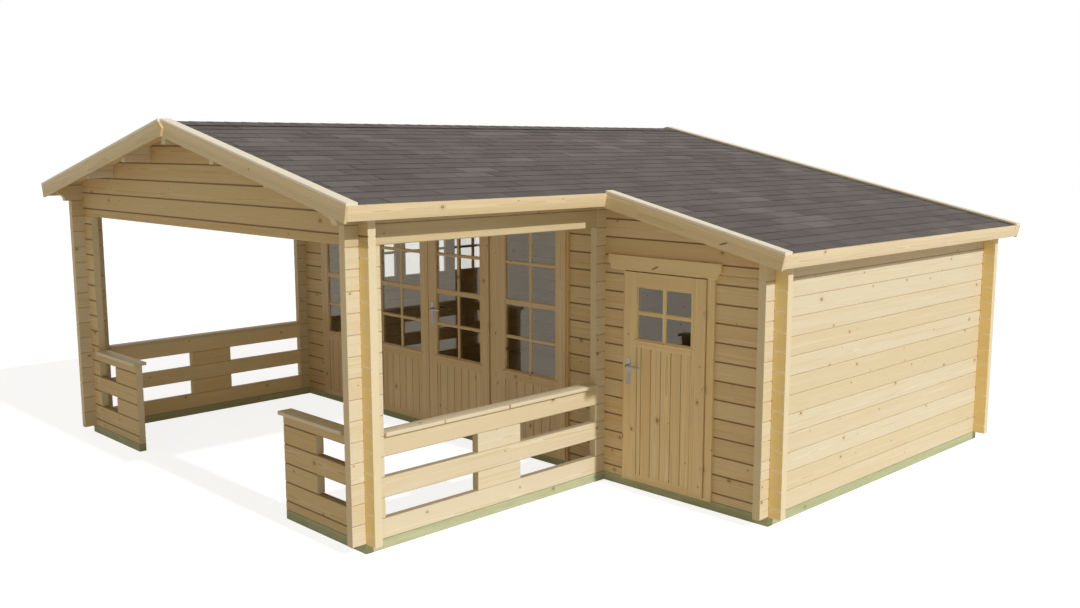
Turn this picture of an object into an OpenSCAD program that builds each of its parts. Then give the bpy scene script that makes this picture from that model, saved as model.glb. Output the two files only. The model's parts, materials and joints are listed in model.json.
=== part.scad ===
// Garden cabin of interlocking logs: one room behind a roofed verandah,
// with a lower side store under the same right-hand roof slope.
// Origin: on the ground, under the ridge, midway through the front wall of the room.
// +X to the right, +Y to the back, +Z up. Millimetres.

/* [Logs] */
// Height of one course of logs
log_h = 135; // [130:1:140]
// Thickness of a log
log_t = 58; // [50:1:64]
// How far log ends stand out past a crossing
log_end = 100; // [80:1:110]
// Height of the V groove between two courses
groove_h = 12; // [5:1:14]
// Depth of the V groove
groove_d = 6; // [3:1:8]

/* [Plan] */
// Width over the two side walls of the room
cabin_w = 4200; // [4000:10:4400]
// Width the side store adds on the right
store_w = 1500; // [1400:10:1700]
// Depth of the verandah, front face of its gable to front face of the room
verandah_d = 2235; // [2100:5:2400]
// Depth over all, front gable to rear wall
total_d = 5460; // [5300:10:5700]
// Height of the impregnated beams under the logs
beam_h = 65; // [50:5:80]

/* [Roof] */
// Height of the boards' underside at the ridge, above the beams
ridge_h = 2645; // [2600:5:2680]
// Rise of the roof for each unit of run
roof_slope = 0.225; // [0.22:0.005:0.23]
// Length of the main slope, ridge to eave
main_slope = 2360; // [2300:10:2400]
// Length of the slope that runs on over the side store
store_slope = 3900; // [3880:10:3960]
// Overhang in front of the verandah gable
front_hang = 226; // [210:2:240]
// Overhang in front of the side store
store_hang = 220; // [210:2:240]
// Overhang behind the rear wall
rear_hang = 162; // [150:2:180]
// Thickness of the roof boards
board_t = 20; // [16:1:22]
// Thickness of the shingles
shingle_t = 8; // [6:1:10]
// Thickness of the barge and eave boards
trim_t = 18; // [16:1:22]
// Thickness of the cap on a barge board
cap_t = 20; // [16:1:22]
// Width of the cap on a barge board
cap_w = 82; // [70:1:90]

/* [Verandah] */
// Length of the low front walls, in from the side walls
parapet_l = 881; // [800:1:950]
// Length of the short logs between the rails
block_l = 400; // [300:10:440]
// Thickness of the handrails
rail_cap_t = 27; // [20:1:30]
// How far a handrail stands out from the logs
rail_cap_lip = 27; // [15:1:30]
// How far a corner post's cross logs run in along the gable
post_stub = 152; // [120:1:160]

/* [Doors] */
// Width of a glazed leaf of the front set
leaf_w = 805; // [780:1:820]
// Thickness of the leaves
leaf_t = 42; // [38:1:44]
// Gap round a leaf
leaf_gap = 6; // [6:0.5:7]
// Gap between the two leaves
meeting_gap = 8; // [8:0.5:10]
// Width of the posts between doors and side lights
mullion_w = 90; // [80:1:100]
// Width of the casings beside the side lights
casing_w = 18; // [15:1:30]
// How far casings stand out from the logs
casing_proud = 21; // [15:1:30]
// How far the leaves stand out from the logs
leaf_proud = 33; // [28:1:36]
// Height of the head over the front set
head_w = 45; // [40:1:50]
// Width of the store door
store_leaf_w = 740; // [700:5:760]
// Position of the store door's left edge
store_leaf_x = 2325; // [2320:1:2340]
// Height of the store door
store_leaf_h = 1563; // [1540:1:1570]

/* [Side window] */
// Width of one sash
sash_w = 680; // [660:1:690]
// Height of the glass's lower edge above the beams
sash_glass_lo = 1062; // [1050:1:1080]
// Height of the glass's upper edge above the beams
sash_glass_hi = 1877; // [1860:1:1890]

/* [Hidden] */
$fn = 48;
pitch = atan(roof_slope);
fit = 0.2;              // gap between sloping faces that lie on each other
side_out = cabin_w / 2;
side_in = side_out - log_t;
side_mid = side_out - log_t / 2;
store_out = side_out + store_w;
store_in = store_out - log_t;
room_front = -log_t / 2;
room_mid = 0;
gable_front = room_front - verandah_d;
gable_mid = gable_front + log_t / 2;
rear_back = gable_front + total_d;
rear_mid = rear_back - log_t / 2;
roof_y0 = gable_front - front_hang;
left_y0 = roof_y0 - trim_t;     // the left barge board stands in front of the right one
store_y0 = room_front - store_hang;
store_top_s = main_slope - trim_t + fit;    // top end of the store's barge board
roof_y1 = rear_back + rear_hang;
deck_y0 = roof_y0 + trim_t;
store_deck_y0 = store_y0 + trim_t;
deck_y1 = roof_y1 - trim_t;
eave_c = 14;            // courses up to the eave beams
set_c = 15;             // courses up to the top of the front set
store_c = 12;           // courses up to the top of the store's doorway
tall = 30 * log_h;      // above every roof
// Inner face of each purlin right of the ridge, and the courses below it; the ridge purlin is first
ridge_seat = 18.58;
purlin_seats = [[-log_t / 2, ridge_seat], [671, 17.57], [1370, 16.55]];
shingle_top = board_t + shingle_t;
ridge_joint = 1;        // plumb joint of two boards, each side of the ridge
fascia_drop = 68;
barge_drop = 78;
casing_front = room_front - casing_proud;
leaf_front = room_front - leaf_proud;
leaf_back = leaf_front + leaf_t;
barrel_r = 6;           // hinge barrels stand in front of the leaves
hinge_y = leaf_front - barrel_r - 0.5;
stop_lip = 15;
set_half = meeting_gap / 2 + leaf_w + leaf_gap + mullion_w + leaf_w;
threshold_t = 12;
stile_w = 110;
set_top = set_c * log_h;
leaf_lo = threshold_t + leaf_gap;
leaf_hi = set_top - head_w - leaf_gap;
ledge_lo = 567;
ledge_hi = 648;
glass_hi = 1856;
glass_t = 5;
glass_set = 15;         // middle of the glass behind a leaf's face
panel_set = 8;
kick_h = 42;
store_stile = 122;
store_ledge_lo = 1026;
store_ledge_hi = 1087;
store_glass_hi = 1475;
store_x1 = store_leaf_x + store_leaf_w;
latch_post = 16;        // the store frame's narrow post
hinge_post = 46;        // and its wide one, with a casing lapping over the logs
casing_lap = 15;
store_open_x0 = store_leaf_x - leaf_gap - latch_post;
store_open_x1 = store_x1 + leaf_gap + hinge_post;
window_mid = 1546;
window_post = 31;
window_rim = 40;
sash_stile = 46.5;
sash_rail = 50;
sash_t = 44;
window_half = 1.5 * sash_w + window_post + window_rim;
window_lo = sash_glass_lo - sash_rail - window_rim;
window_hi = sash_glass_hi + sash_rail + window_rim;
plate_t = 3;
plate_w = 36;
plate_h = 207;
spindle_r = 5;
neck_r = 9;
lever_l = 155;
lever_stand = 46;
front_handle = [meeting_gap / 2 + 58, 1060];
store_handle = [store_leaf_x + 44, 882];

// Height above the ground of a number of courses, and of a height above the beams
function course(c) = beam_h + c * log_h;
function above(h) = beam_h + h;

// A point s down the slope from the ridge and n above the boards' underside, as [x, z]
function on_slope(s, n) = [s * cos(pitch) + n * sin(pitch),
    above(ridge_h) - s * sin(pitch) + n * cos(pitch)];
// Distance down the slope of the plumb line at x, at height n
function plumb(x, n) = (x - n * sin(pitch)) / cos(pitch);

// One face of a stack of logs: a log keeps its full thickness between its bevelled edges
function log_face(e) = [for (i = [0:len(e) - 2], p = [[log_t / 2 - groove_d, e[i]],
    [log_t / 2, e[i] + groove_h / 2], [log_t / 2, e[i + 1] - groove_h / 2],
    [log_t / 2 - groove_d, e[i + 1]]]) p];
function flipped(p) = [for (i = [len(p) - 1:-1:0]) [-p[i][0], p[i][1]]];
// Section of a stack of logs from lo to hi; shift is 0.5 where courses start with a half log
function log_section(lo, hi, shift) = let(
    joints = [for (k = [0:24]) let(z = course(k + shift)) if (z > lo + groove_h && z < hi - groove_h) z],
    face = log_face(concat([lo], joints, [hi]))) concat(face, flipped(face));

module logs_x(x0, x1, y, lo, hi) translate([x0, y, 0]) rotate([90, 0, 90])
    linear_extrude(x1 - x0) polygon(log_section(lo, hi, 0.5));
module logs_y(y0, y1, x, lo, hi) translate([x, y1, 0]) rotate([90, 0, 0])
    linear_extrude(y1 - y0) polygon(log_section(lo, hi, 0));
module block(a, b) translate(a) cube(b - a);
// A polygon in X and Z carried along Y
module along_y(y0, y1, points) translate([0, y1, 0]) rotate([90, 0, 0])
    linear_extrude(y1 - y0) polygon(points);
module both_sides() {
    children();
    mirror([1, 0, 0]) children();
}

module under_roof() let(x = store_out + 2 * log_end, eave = on_slope(plumb(x, -fit), -fit))
    along_y(roof_y0, roof_y1, [[-x, 0], [-x, eave[1]], on_slope(plumb(0, -fit), -fit), eave, [x, 0]]);
// A layer on the right-hand slope between s0 and s1, square cut at the eave
module slope_layer(s0, s1, n0, n1, y0, y1) along_y(y0, y1,
    [on_slope(s0, n0), on_slope(s1, n0), on_slope(s1, n1), on_slope(s0, n1)]);
// The same, cut plumb at x0
module ridge_layer(x0, s1, n0, n1, y0, y1) along_y(y0, y1,
    [on_slope(plumb(x0, n0), n0), on_slope(s1, n0), on_slope(s1, n1), on_slope(plumb(x0, n1), n1)]);

// Foundation
module foundation_long_beams() color("darkkhaki")
    for (x = [-side_mid, side_mid, store_out - log_t / 2])
        block([x - log_t / 2, x > side_out ? room_front : gable_front, 0],
            [x + log_t / 2, rear_back, beam_h]);
module foundation_cross_beams() color("darkkhaki") {
    both_sides() block([side_in - parapet_l, gable_front, 0], [side_in, gable_front + log_t, beam_h]);
    for (y = [room_front, rear_back - log_t]) {
        block([-side_in, y, 0], [side_in, y + log_t, beam_h]);
        block([side_out, y, 0], [store_in, y + log_t, beam_h]);
    }
}

// Verandah
post_y1 = gable_front + log_t + log_end;
post_y0 = gable_front - log_end;
room_y0 = room_front - log_end;
module corner_post() color("burlywood") {
    logs_y(post_y0, post_y1, side_mid, course(0), course(eave_c));
    logs_x(side_in - post_stub, side_out + log_end, gable_mid, course(0), course(eave_c));
}
module front_left_corner_post() mirror([1, 0, 0]) corner_post();
module front_right_corner_post() corner_post();
module railing_logs() color("burlywood")
    for (c = [0, 2, 4]) logs_y(post_y1, room_y0, side_mid, course(c), course(c + 1));
module left_railing_logs() mirror([1, 0, 0]) railing_logs();
module right_railing_logs() railing_logs();
module railing_blocks() color("burlywood") both_sides()
    for (c = [1, 3]) logs_y((post_y1 + room_y0 - block_l) / 2, (post_y1 + room_y0 + block_l) / 2,
        side_mid, course(c), course(c + 1));
module handrails() color("wheat") both_sides()
    block([side_in - rail_cap_lip, post_y1, course(5)],
        [side_out + rail_cap_lip, room_y0, course(5) + rail_cap_t]);
parapet_x0 = side_in - parapet_l;
parapet_x1 = side_in - post_stub;
module parapet_logs() color("burlywood")
    for (c = [[0, 1.5], [2.5, 3.5], [4.5, 5]])
        logs_x(parapet_x0, parapet_x1, gable_mid, course(c[0]), course(c[1]));
module left_parapet_logs() mirror([1, 0, 0]) parapet_logs();
module right_parapet_logs() parapet_logs();
module parapet_blocks() color("burlywood") both_sides()
    for (c = [1.5, 3.5]) logs_x(parapet_x0, parapet_x0 + block_l, gable_mid, course(c), course(c + 1));
module parapet_caps() color("wheat") both_sides()
    block([parapet_x0 - rail_cap_lip, gable_front - rail_cap_lip, course(5)],
        [parapet_x1, gable_front + log_t + rail_cap_lip, course(5) + rail_cap_t]);

// The lower log ends with the others; the upper runs on to the barge board, its end rounded
bracket_r = log_h / 2 - 8;
module eave_beams() color("burlywood") both_sides() intersection() {
    under_roof();
    difference() {
        logs_y(deck_y0, room_y0, side_mid, course(eave_c), tall);
        block([side_in - 1, deck_y0 - 1, course(eave_c) - 1], [side_out + 1, post_y0, course(eave_c + 1)]);
        translate([side_in - 1, deck_y0, course(eave_c + 1)]) rotate([90, 0, 90])
            cylinder(r = bracket_r, h = log_t + 2);
    }
}
// A gable of logs, notched where purlins lie in it
module gable(x0, x1, y, c) intersection() {
    under_roof();
    difference() {
        logs_x(x0, x1, y, course(c), tall);
        for (p = purlin_seats, side = [-1, 1]) let(x = side * (p[0] + log_t / 2))
            block([x - log_t / 2, y - log_t, course(p[1])], [x + log_t / 2, y + log_t, tall + 1]);
    }
}
module log_ends(x, y, c) intersection() {
    under_roof();
    logs_x(x, x + log_end, y, course(c), tall);
}
module front_gable_wall() color("burlywood") {
    gable(-side_in, side_in, gable_mid, eave_c);
    both_sides() log_ends(side_out, gable_mid, eave_c);
}

// Walls of the room and the store
module side_logs(x) intersection() {
    under_roof();
    logs_y(room_y0, rear_back + log_end, x, course(0), tall);
}
module left_side_wall() color("burlywood") difference() {
    side_logs(-side_mid);
    block([-side_out - 1, window_mid - window_half, above(window_lo)],
        [-side_in + 1, window_mid + window_half, above(window_hi)]);
}
module partition_wall() color("burlywood") side_logs(side_mid);
module store_side_wall() color("burlywood") side_logs(store_out - log_t / 2);
module cabin_front_wall() color("burlywood") {
    both_sides() logs_x(set_half, side_in, room_mid, course(0), course(set_c));
    mirror([1, 0, 0]) log_ends(side_out, room_mid, 0);
}
module cabin_front_gable() color("burlywood") gable(-side_in, side_in, room_mid, set_c);
module store_front_wall() color("burlywood") {
    logs_x(side_out, store_open_x0, room_mid, course(0), course(store_c));
    logs_x(store_open_x1, store_in, room_mid, course(0), course(store_c));
    log_ends(store_out, room_mid, 0);
}
module store_front_header() color("burlywood") gable(side_out, store_in, room_mid, store_c);
module rear_wall() color("burlywood") {
    gable(-side_in, side_in, rear_mid, 0);
    gable(side_out, store_in, rear_mid, 0);
    mirror([1, 0, 0]) log_ends(side_out, rear_mid, 0);
    log_ends(store_out, rear_mid, 0);
}

// Roof: purlins on edge, boards, shingles
module purlin(x, c) along_y(deck_y0, deck_y1, [[x, course(c)], [x + log_t, course(c)],
    on_slope(plumb(x + log_t, -fit), -fit), on_slope(plumb(x, -fit), -fit)]);
shoulder = on_slope(plumb(log_t / 2, -fit), -fit);
module roof_purlins() color("burlywood") {
    for (p = purlin_seats) if (p[0] > 0) both_sides() purlin(p[0], p[1]);
    along_y(deck_y0, deck_y1, [[-log_t / 2, course(ridge_seat)], [log_t / 2, course(ridge_seat)],
        shoulder, on_slope(plumb(0, -fit), -fit), [-shoulder[0], shoulder[1]]]);
}
module roof_deck_left() color("navajowhite") mirror([1, 0, 0])
    ridge_layer(0, main_slope - trim_t, 0, board_t, roof_y0, deck_y1);
module roof_deck_right() color("navajowhite") {
    ridge_layer(0, main_slope - trim_t, 0, board_t, deck_y0, deck_y1);
    slope_layer(main_slope - trim_t, store_slope - trim_t, 0, board_t, store_deck_y0, deck_y1);
}
module shingles_left() color("dimgray") mirror([1, 0, 0])
    ridge_layer(0, main_slope - trim_t, board_t + fit, shingle_top, roof_y0, deck_y1);
module shingles_right() color("dimgray") {
    ridge_layer(0, main_slope - trim_t, board_t + fit, shingle_top, deck_y0, deck_y1);
    slope_layer(main_slope - trim_t, store_slope - trim_t, board_t + fit, shingle_top,
        store_deck_y0, deck_y1);
}
ridge_leg = 130;
ridge_t = 6;
module ridge_cap() color("dimgray") both_sides() ridge_layer(0, ridge_leg, shingle_top + fit,
    shingle_top + ridge_t, roof_y0 + cap_w, roof_y1 - cap_w);
module barge(x0, s1, y0) ridge_layer(x0, s1, -barge_drop, shingle_top, y0, y0 + trim_t);
// At the front the left board passes before the right one at the ridge, and ends in a point
tip_mid = [55, -20];    // how far past the ridge, and how high above the boards' underside
tip_foot = 30;          // how far past it at the foot
function at_ridge(n) = on_slope(plumb(0, n), n);
module barge_tip() along_y(left_y0, roof_y0 - fit, [at_ridge(shingle_top), at_ridge(-barge_drop),
    at_ridge(-barge_drop) + [tip_foot, 0], [0, above(ridge_h)] + tip_mid]);
module barge_boards() color("wheat") {
    barge_tip();
    barge(ridge_joint, main_slope, roof_y0);
    mirror([1, 0, 0]) barge(0, main_slope, left_y0);
    slope_layer(store_top_s, store_slope, -barge_drop, shingle_top, store_y0, store_deck_y0);
    barge(ridge_joint, store_slope, deck_y1);
    mirror([1, 0, 0]) barge(ridge_joint, main_slope, deck_y1);
}
module barge_cap(x0, s1, y0) ridge_layer(x0, s1, shingle_top + fit, shingle_top + cap_t, y0, y0 + cap_w);
module barge_caps() color("wheat") {
    barge_cap(ridge_joint, main_slope, roof_y0);
    mirror([1, 0, 0]) barge_cap(ridge_joint, main_slope, left_y0);
    slope_layer(store_top_s, store_slope, shingle_top + fit, shingle_top + cap_t,
        store_y0, store_y0 + cap_w);
    barge_cap(ridge_joint, store_slope, roof_y1 - cap_w);
    mirror([1, 0, 0]) barge_cap(ridge_joint, main_slope, roof_y1 - cap_w);
}
module fascia(s, y0, y1) slope_layer(s - trim_t + fit, s, -fascia_drop, shingle_top - fit, y0, y1);
module eave_fascias() color("wheat") {
    mirror([1, 0, 0]) fascia(main_slope, roof_y0, deck_y1);
    fascia(main_slope, deck_y0, store_y0);
    fascia(store_slope, store_deck_y0, deck_y1);
}

// Front set: two doors between two fixed glazed panels, in one frame
module posts_and_head() {
    both_sides() {
        block([set_half, casing_front, beam_h], [set_half + casing_w, room_front, course(set_c)]);
        translate([meeting_gap / 2 + leaf_w + leaf_gap, casing_front, beam_h + threshold_t])
            cube([mullion_w, casing_proud + log_t, leaf_hi + leaf_gap - threshold_t]);
        translate([meeting_gap / 2 + leaf_w + leaf_gap - stop_lip, leaf_back + leaf_gap, beam_h + threshold_t])
            cube([stop_lip, log_t / 2 - leaf_back - leaf_gap, leaf_hi + leaf_gap - threshold_t]);
    }
    block([-set_half, casing_front, above(leaf_hi + leaf_gap)], [set_half, -room_front, course(set_c)]);
    block([-set_half, casing_front, beam_h], [set_half, -room_front, beam_h + threshold_t]);
}
module door_set_frame() color("tan") posts_and_head();

// A glazed leaf: stiles, rails and a boarded lower panel; bounds are above the beams
module leaf(x0, x1, lo, hi, stile, ledge0, ledge1, glass1, y0, y1) difference() {
    block([x0, y0, above(lo)], [x1, y1, above(hi)]);
    block([x0 + stile, y0 - 1, above(ledge1)], [x1 - stile, y1 + 1, above(glass1)]);
    block([x0 + stile, y0 - 1, above(lo + kick_h)], [x1 - stile, y0 + panel_set, above(ledge0)]);
    block([x0 + stile, y1 - panel_set, above(lo + kick_h)], [x1 - stile, y1 + 1, above(ledge0)]);
}
module pane(x0, x1, lo, hi, y) block([x0, y - glass_t / 2, above(lo)], [x1, y + glass_t / 2, above(hi)]);
module side_light() leaf(set_half - leaf_w, set_half, threshold_t, leaf_hi + leaf_gap, stile_w, ledge_lo,
    ledge_hi, glass_hi, leaf_front, leaf_back);
module side_light_sashes() color("tan") both_sides() side_light();
glass_y = leaf_front + glass_set;
module side_light_glass() color("lightslategray", 0.4) both_sides()
    pane(set_half - leaf_w + stile_w, set_half - stile_w, ledge_hi, glass_hi, glass_y);
door_x0 = meeting_gap / 2;
door_x1 = door_x0 + leaf_w;
module front_leaf() leaf(door_x0, door_x1, leaf_lo, leaf_hi, stile_w, ledge_lo, ledge_hi,
    glass_hi, leaf_front, leaf_back);
module front_glass() pane(door_x0 + stile_w, door_x1 - stile_w, ledge_hi, glass_hi, glass_y);
// Barrel hinges right of a leaf, over the middle of its gap, each with a flap on the leaf's face
hinge_l = 60;
flap_w = 22;
flap_t = 2;
knuckle_w = 6;
module hinges(edge, heights) for (h = heights) translate([edge, 0, above(h)]) {
    translate([leaf_gap / 2, hinge_y, 0]) cylinder(r = barrel_r, h = hinge_l);
    block([leaf_gap / 2 - knuckle_w, hinge_y, 0], [leaf_gap / 2, leaf_front, hinge_l]);
    block([-flap_w, leaf_front - flap_t, 0], [0, leaf_front, hinge_l]);
}
front_hinge_h = [220, 960, 1700];
module front_hinges() hinges(door_x1, front_hinge_h);
module left_door_leaf() color("tan") mirror([1, 0, 0]) front_leaf();
module left_door_glass() color("lightslategray", 0.4) mirror([1, 0, 0]) front_glass();
module left_door_hinges() color("silver") mirror([1, 0, 0]) front_hinges();
module spindle_hole(at) translate([at[0], leaf_front - 10, above(at[1])]) rotate([-90, 0, 0])
    cylinder(r = spindle_r + 3, h = leaf_t + 20);
module right_door_leaf() color("tan") difference() {
    front_leaf();
    spindle_hole(front_handle);
}
module right_door_glass() color("lightslategray", 0.4) front_glass();
module right_door_hinges() color("silver") front_hinges();
module plates(at) color("silver") for (y = [leaf_front - plate_t, leaf_back]) difference() {
    translate([at[0] - plate_w / 2, y, above(at[1]) - plate_h + 60]) cube([plate_w, plate_t, plate_h]);
    translate([at[0], y - 1, above(at[1])]) rotate([-90, 0, 0]) cylinder(r = neck_r + 0.1, h = plate_t + 2);
}
// Inside and outside handles on one spindle
grip_r = 7;
module lever(at) color("silver") translate([at[0], 0, above(at[1])]) {
    translate([0, leaf_front - 1, 0]) rotate([-90, 0, 0]) cylinder(r = spindle_r, h = leaf_t + 2);
    for (y = [leaf_front - lever_stand, leaf_back]) translate([0, y, 0]) rotate([-90, 0, 0])
        cylinder(r = neck_r, h = lever_stand);
    for (y = [leaf_front - lever_stand, leaf_back + lever_stand]) translate([-neck_r, y, 0])
        rotate([0, 90, 0]) cylinder(r = grip_r, h = lever_l);
}
module right_door_plates() plates(front_handle);
module right_door_lever() lever(front_handle);

// Store doorway: jambs, head moulding and one glazed leaf
store_hi = leaf_lo + store_leaf_h;
head_h = 108;           // head moulding over the doorway
head_over = 47;         // how far it runs past the frame on the hinge side
head_left = 153;        // and on the latch side
// Head moulding: its ends sweep in below in an S curve of two arcs
module head_moulding(x0, x1, y0, y1, z0) translate([0, y1, 0]) rotate([90, 0, 0])
    linear_extrude(y1 - y0) let(r = head_over / 2) polygon(concat([[x0 + head_over, z0]],
        [for (a = [-90:-15:-180]) [x0 + r, z0 + r] + r * [cos(a), sin(a)] + [r, 0]],
        [for (a = [0:15:90]) [x0, z0 + r] + r * [cos(a), sin(a)]],
        [[x0, z0 + head_h], [x1, z0 + head_h]],
        [for (a = [90:15:180]) [x1, z0 + r] + r * [cos(a), sin(a)]],
        [for (a = [0:-15:-90]) [x1 - 2 * r, z0 + r] + r * [cos(a), sin(a)]]));
module store_door_frame() color("tan") {
    block([store_open_x0, casing_front, beam_h],
        [store_open_x0 + latch_post, -room_front, course(store_c)]);
    block([store_x1 + leaf_gap, casing_front, beam_h],
        [store_open_x1, -room_front, course(store_c)]);
    block([store_open_x1, casing_front, beam_h],
        [store_open_x1 + casing_lap, room_front, above(store_hi + leaf_gap)]);
    block([store_x1 + leaf_gap - stop_lip, leaf_back + leaf_gap, beam_h],
        [store_x1 + leaf_gap, -room_front, course(store_c)]);
    block([store_leaf_x - leaf_gap, leaf_back + leaf_gap, beam_h],
        [store_leaf_x - leaf_gap + stop_lip, -room_front, course(store_c)]);
    block([store_open_x0, casing_front, above(store_hi + leaf_gap)],
        [store_open_x1, -room_front, course(store_c)]);
    block([store_open_x0, casing_front, beam_h], [store_open_x1, -room_front, beam_h + threshold_t]);
    head_moulding(store_open_x0 - head_left, store_open_x1 + casing_lap + head_over,
        casing_front, room_front, above(store_hi + leaf_gap));
}
module store_door_leaf() color("tan") difference() {
    leaf(store_leaf_x, store_x1, leaf_lo, store_hi, store_stile, store_ledge_lo, store_ledge_hi,
        store_glass_hi, leaf_front, leaf_back);
    spindle_hole(store_handle);
}
module store_door_glass() color("lightslategray", 0.4)
    pane(store_leaf_x + store_stile, store_x1 - store_stile, store_ledge_hi, store_glass_hi, glass_y);
store_hinge_h = [180, 760, 1300];
module store_door_hinges() color("silver") hinges(store_x1, store_hinge_h);
module store_door_plates() plates(store_handle);
module store_door_lever() lever(store_handle);

// Side window: three fixed sashes in one frame
module window_box(y0, y1, lo, hi, depth) block([-side_mid - depth / 2, y0, above(lo)],
    [-side_mid + depth / 2, y1, above(hi)]);
function sash_y(i) = window_mid + (i - 1) * (sash_w + window_post);
module side_window_frame() color("tan") difference() {
    window_box(window_mid - window_half, window_mid + window_half, window_lo, window_hi, log_t);
    for (i = [0:2]) window_box(sash_y(i) - sash_w / 2, sash_y(i) + sash_w / 2,
        window_lo + window_rim, window_hi - window_rim, log_t + 2);
}
module side_window_sashes() color("tan") for (i = [0:2]) difference() {
    window_box(sash_y(i) - sash_w / 2, sash_y(i) + sash_w / 2, window_lo + window_rim,
        window_hi - window_rim, sash_t);
    window_box(sash_y(i) - sash_w / 2 + sash_stile, sash_y(i) + sash_w / 2 - sash_stile,
        sash_glass_lo, sash_glass_hi, sash_t + 2);
}
module side_window_glass() color("lightslategray", 0.4) for (i = [0:2])
    window_box(sash_y(i) - sash_w / 2 + sash_stile, sash_y(i) + sash_w / 2 - sash_stile,
        sash_glass_lo, sash_glass_hi, glass_t);

foundation_long_beams();
foundation_cross_beams();
front_left_corner_post();
front_right_corner_post();
left_railing_logs();
right_railing_logs();
railing_blocks();
handrails();
left_parapet_logs();
right_parapet_logs();
parapet_blocks();
parapet_caps();
eave_beams();
front_gable_wall();
left_side_wall();
partition_wall();
store_side_wall();
cabin_front_wall();
cabin_front_gable();
store_front_wall();
store_front_header();
rear_wall();
roof_purlins();
roof_deck_left();
roof_deck_right();
shingles_left();
shingles_right();
ridge_cap();
barge_boards();
barge_caps();
eave_fascias();
door_set_frame();
side_light_sashes();
side_light_glass();
left_door_leaf();
left_door_glass();
left_door_hinges();
right_door_leaf();
right_door_glass();
right_door_hinges();
right_door_plates();
right_door_lever();
store_door_frame();
store_door_leaf();
store_door_glass();
store_door_hinges();
store_door_plates();
store_door_lever();
side_window_frame();
side_window_sashes();
side_window_glass();
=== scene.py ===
"""Garden cabin of interlocking spruce logs: finishes, joinery, shingles, ironmongery and light."""
import json
from math import atan, cos, floor, pi, radians, sin

import bpy
import numpy as np
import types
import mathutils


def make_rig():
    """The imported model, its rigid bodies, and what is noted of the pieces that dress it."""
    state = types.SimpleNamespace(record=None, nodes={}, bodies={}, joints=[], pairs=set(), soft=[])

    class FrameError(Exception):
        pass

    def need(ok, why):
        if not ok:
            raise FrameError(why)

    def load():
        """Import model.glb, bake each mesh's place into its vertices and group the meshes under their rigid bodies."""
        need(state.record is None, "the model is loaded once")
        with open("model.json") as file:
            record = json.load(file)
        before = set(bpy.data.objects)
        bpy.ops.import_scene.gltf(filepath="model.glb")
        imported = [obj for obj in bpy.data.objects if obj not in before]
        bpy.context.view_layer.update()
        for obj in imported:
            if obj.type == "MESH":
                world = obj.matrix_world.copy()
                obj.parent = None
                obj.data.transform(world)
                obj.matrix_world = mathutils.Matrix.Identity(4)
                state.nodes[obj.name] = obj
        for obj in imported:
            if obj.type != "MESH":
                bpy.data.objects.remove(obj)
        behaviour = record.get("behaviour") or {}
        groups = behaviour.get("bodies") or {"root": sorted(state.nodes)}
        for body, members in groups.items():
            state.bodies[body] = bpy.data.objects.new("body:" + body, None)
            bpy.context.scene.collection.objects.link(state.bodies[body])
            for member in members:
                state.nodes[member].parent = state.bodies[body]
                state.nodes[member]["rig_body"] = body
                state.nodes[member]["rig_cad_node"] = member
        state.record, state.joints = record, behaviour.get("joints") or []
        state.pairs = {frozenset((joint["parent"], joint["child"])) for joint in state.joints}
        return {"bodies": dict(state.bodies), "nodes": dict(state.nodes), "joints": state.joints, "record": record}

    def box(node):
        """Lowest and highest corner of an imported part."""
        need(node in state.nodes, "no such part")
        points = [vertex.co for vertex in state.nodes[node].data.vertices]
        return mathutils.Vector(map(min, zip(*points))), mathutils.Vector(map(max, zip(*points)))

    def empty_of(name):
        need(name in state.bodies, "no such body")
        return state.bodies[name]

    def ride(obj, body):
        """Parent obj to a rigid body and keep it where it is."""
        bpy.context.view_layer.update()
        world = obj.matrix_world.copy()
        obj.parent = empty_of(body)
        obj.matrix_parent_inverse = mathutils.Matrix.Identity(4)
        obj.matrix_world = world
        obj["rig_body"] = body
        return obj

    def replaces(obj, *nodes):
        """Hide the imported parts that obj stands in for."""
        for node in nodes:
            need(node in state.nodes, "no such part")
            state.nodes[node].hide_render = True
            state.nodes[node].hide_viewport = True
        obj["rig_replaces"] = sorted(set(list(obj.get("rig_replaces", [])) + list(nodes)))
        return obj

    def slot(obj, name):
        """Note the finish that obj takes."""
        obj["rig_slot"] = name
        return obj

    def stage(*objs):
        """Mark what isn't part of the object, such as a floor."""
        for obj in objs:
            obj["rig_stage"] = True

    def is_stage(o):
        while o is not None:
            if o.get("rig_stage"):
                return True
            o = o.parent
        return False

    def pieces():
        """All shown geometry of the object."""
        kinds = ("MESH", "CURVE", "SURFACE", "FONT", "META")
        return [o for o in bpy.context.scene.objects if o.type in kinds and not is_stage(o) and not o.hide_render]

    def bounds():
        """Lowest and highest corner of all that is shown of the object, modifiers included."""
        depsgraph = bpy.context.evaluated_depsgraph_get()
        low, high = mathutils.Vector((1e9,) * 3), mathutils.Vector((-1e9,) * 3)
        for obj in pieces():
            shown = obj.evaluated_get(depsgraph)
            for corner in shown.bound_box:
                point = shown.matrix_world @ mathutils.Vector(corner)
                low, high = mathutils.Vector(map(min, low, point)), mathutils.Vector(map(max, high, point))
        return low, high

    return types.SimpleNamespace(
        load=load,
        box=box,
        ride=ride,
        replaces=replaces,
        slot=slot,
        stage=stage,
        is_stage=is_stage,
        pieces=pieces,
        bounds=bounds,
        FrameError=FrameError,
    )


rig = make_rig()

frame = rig.load()
cad_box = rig.bounds()

# ------------------------------
# Foundation beams: pressure-impregnated softwood laid flat under every wall,
# rough from the saw and dull green from the salts it took up.


def math_node(operation, swapped=False):
    """A socket's method that adds a Math node; swapped puts the socket second."""
    def apply(socket, *others):
        return socket.finish.node("Math", (*others, socket) if swapped else (socket, *others),
                                  operation=operation)
    return apply


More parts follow.
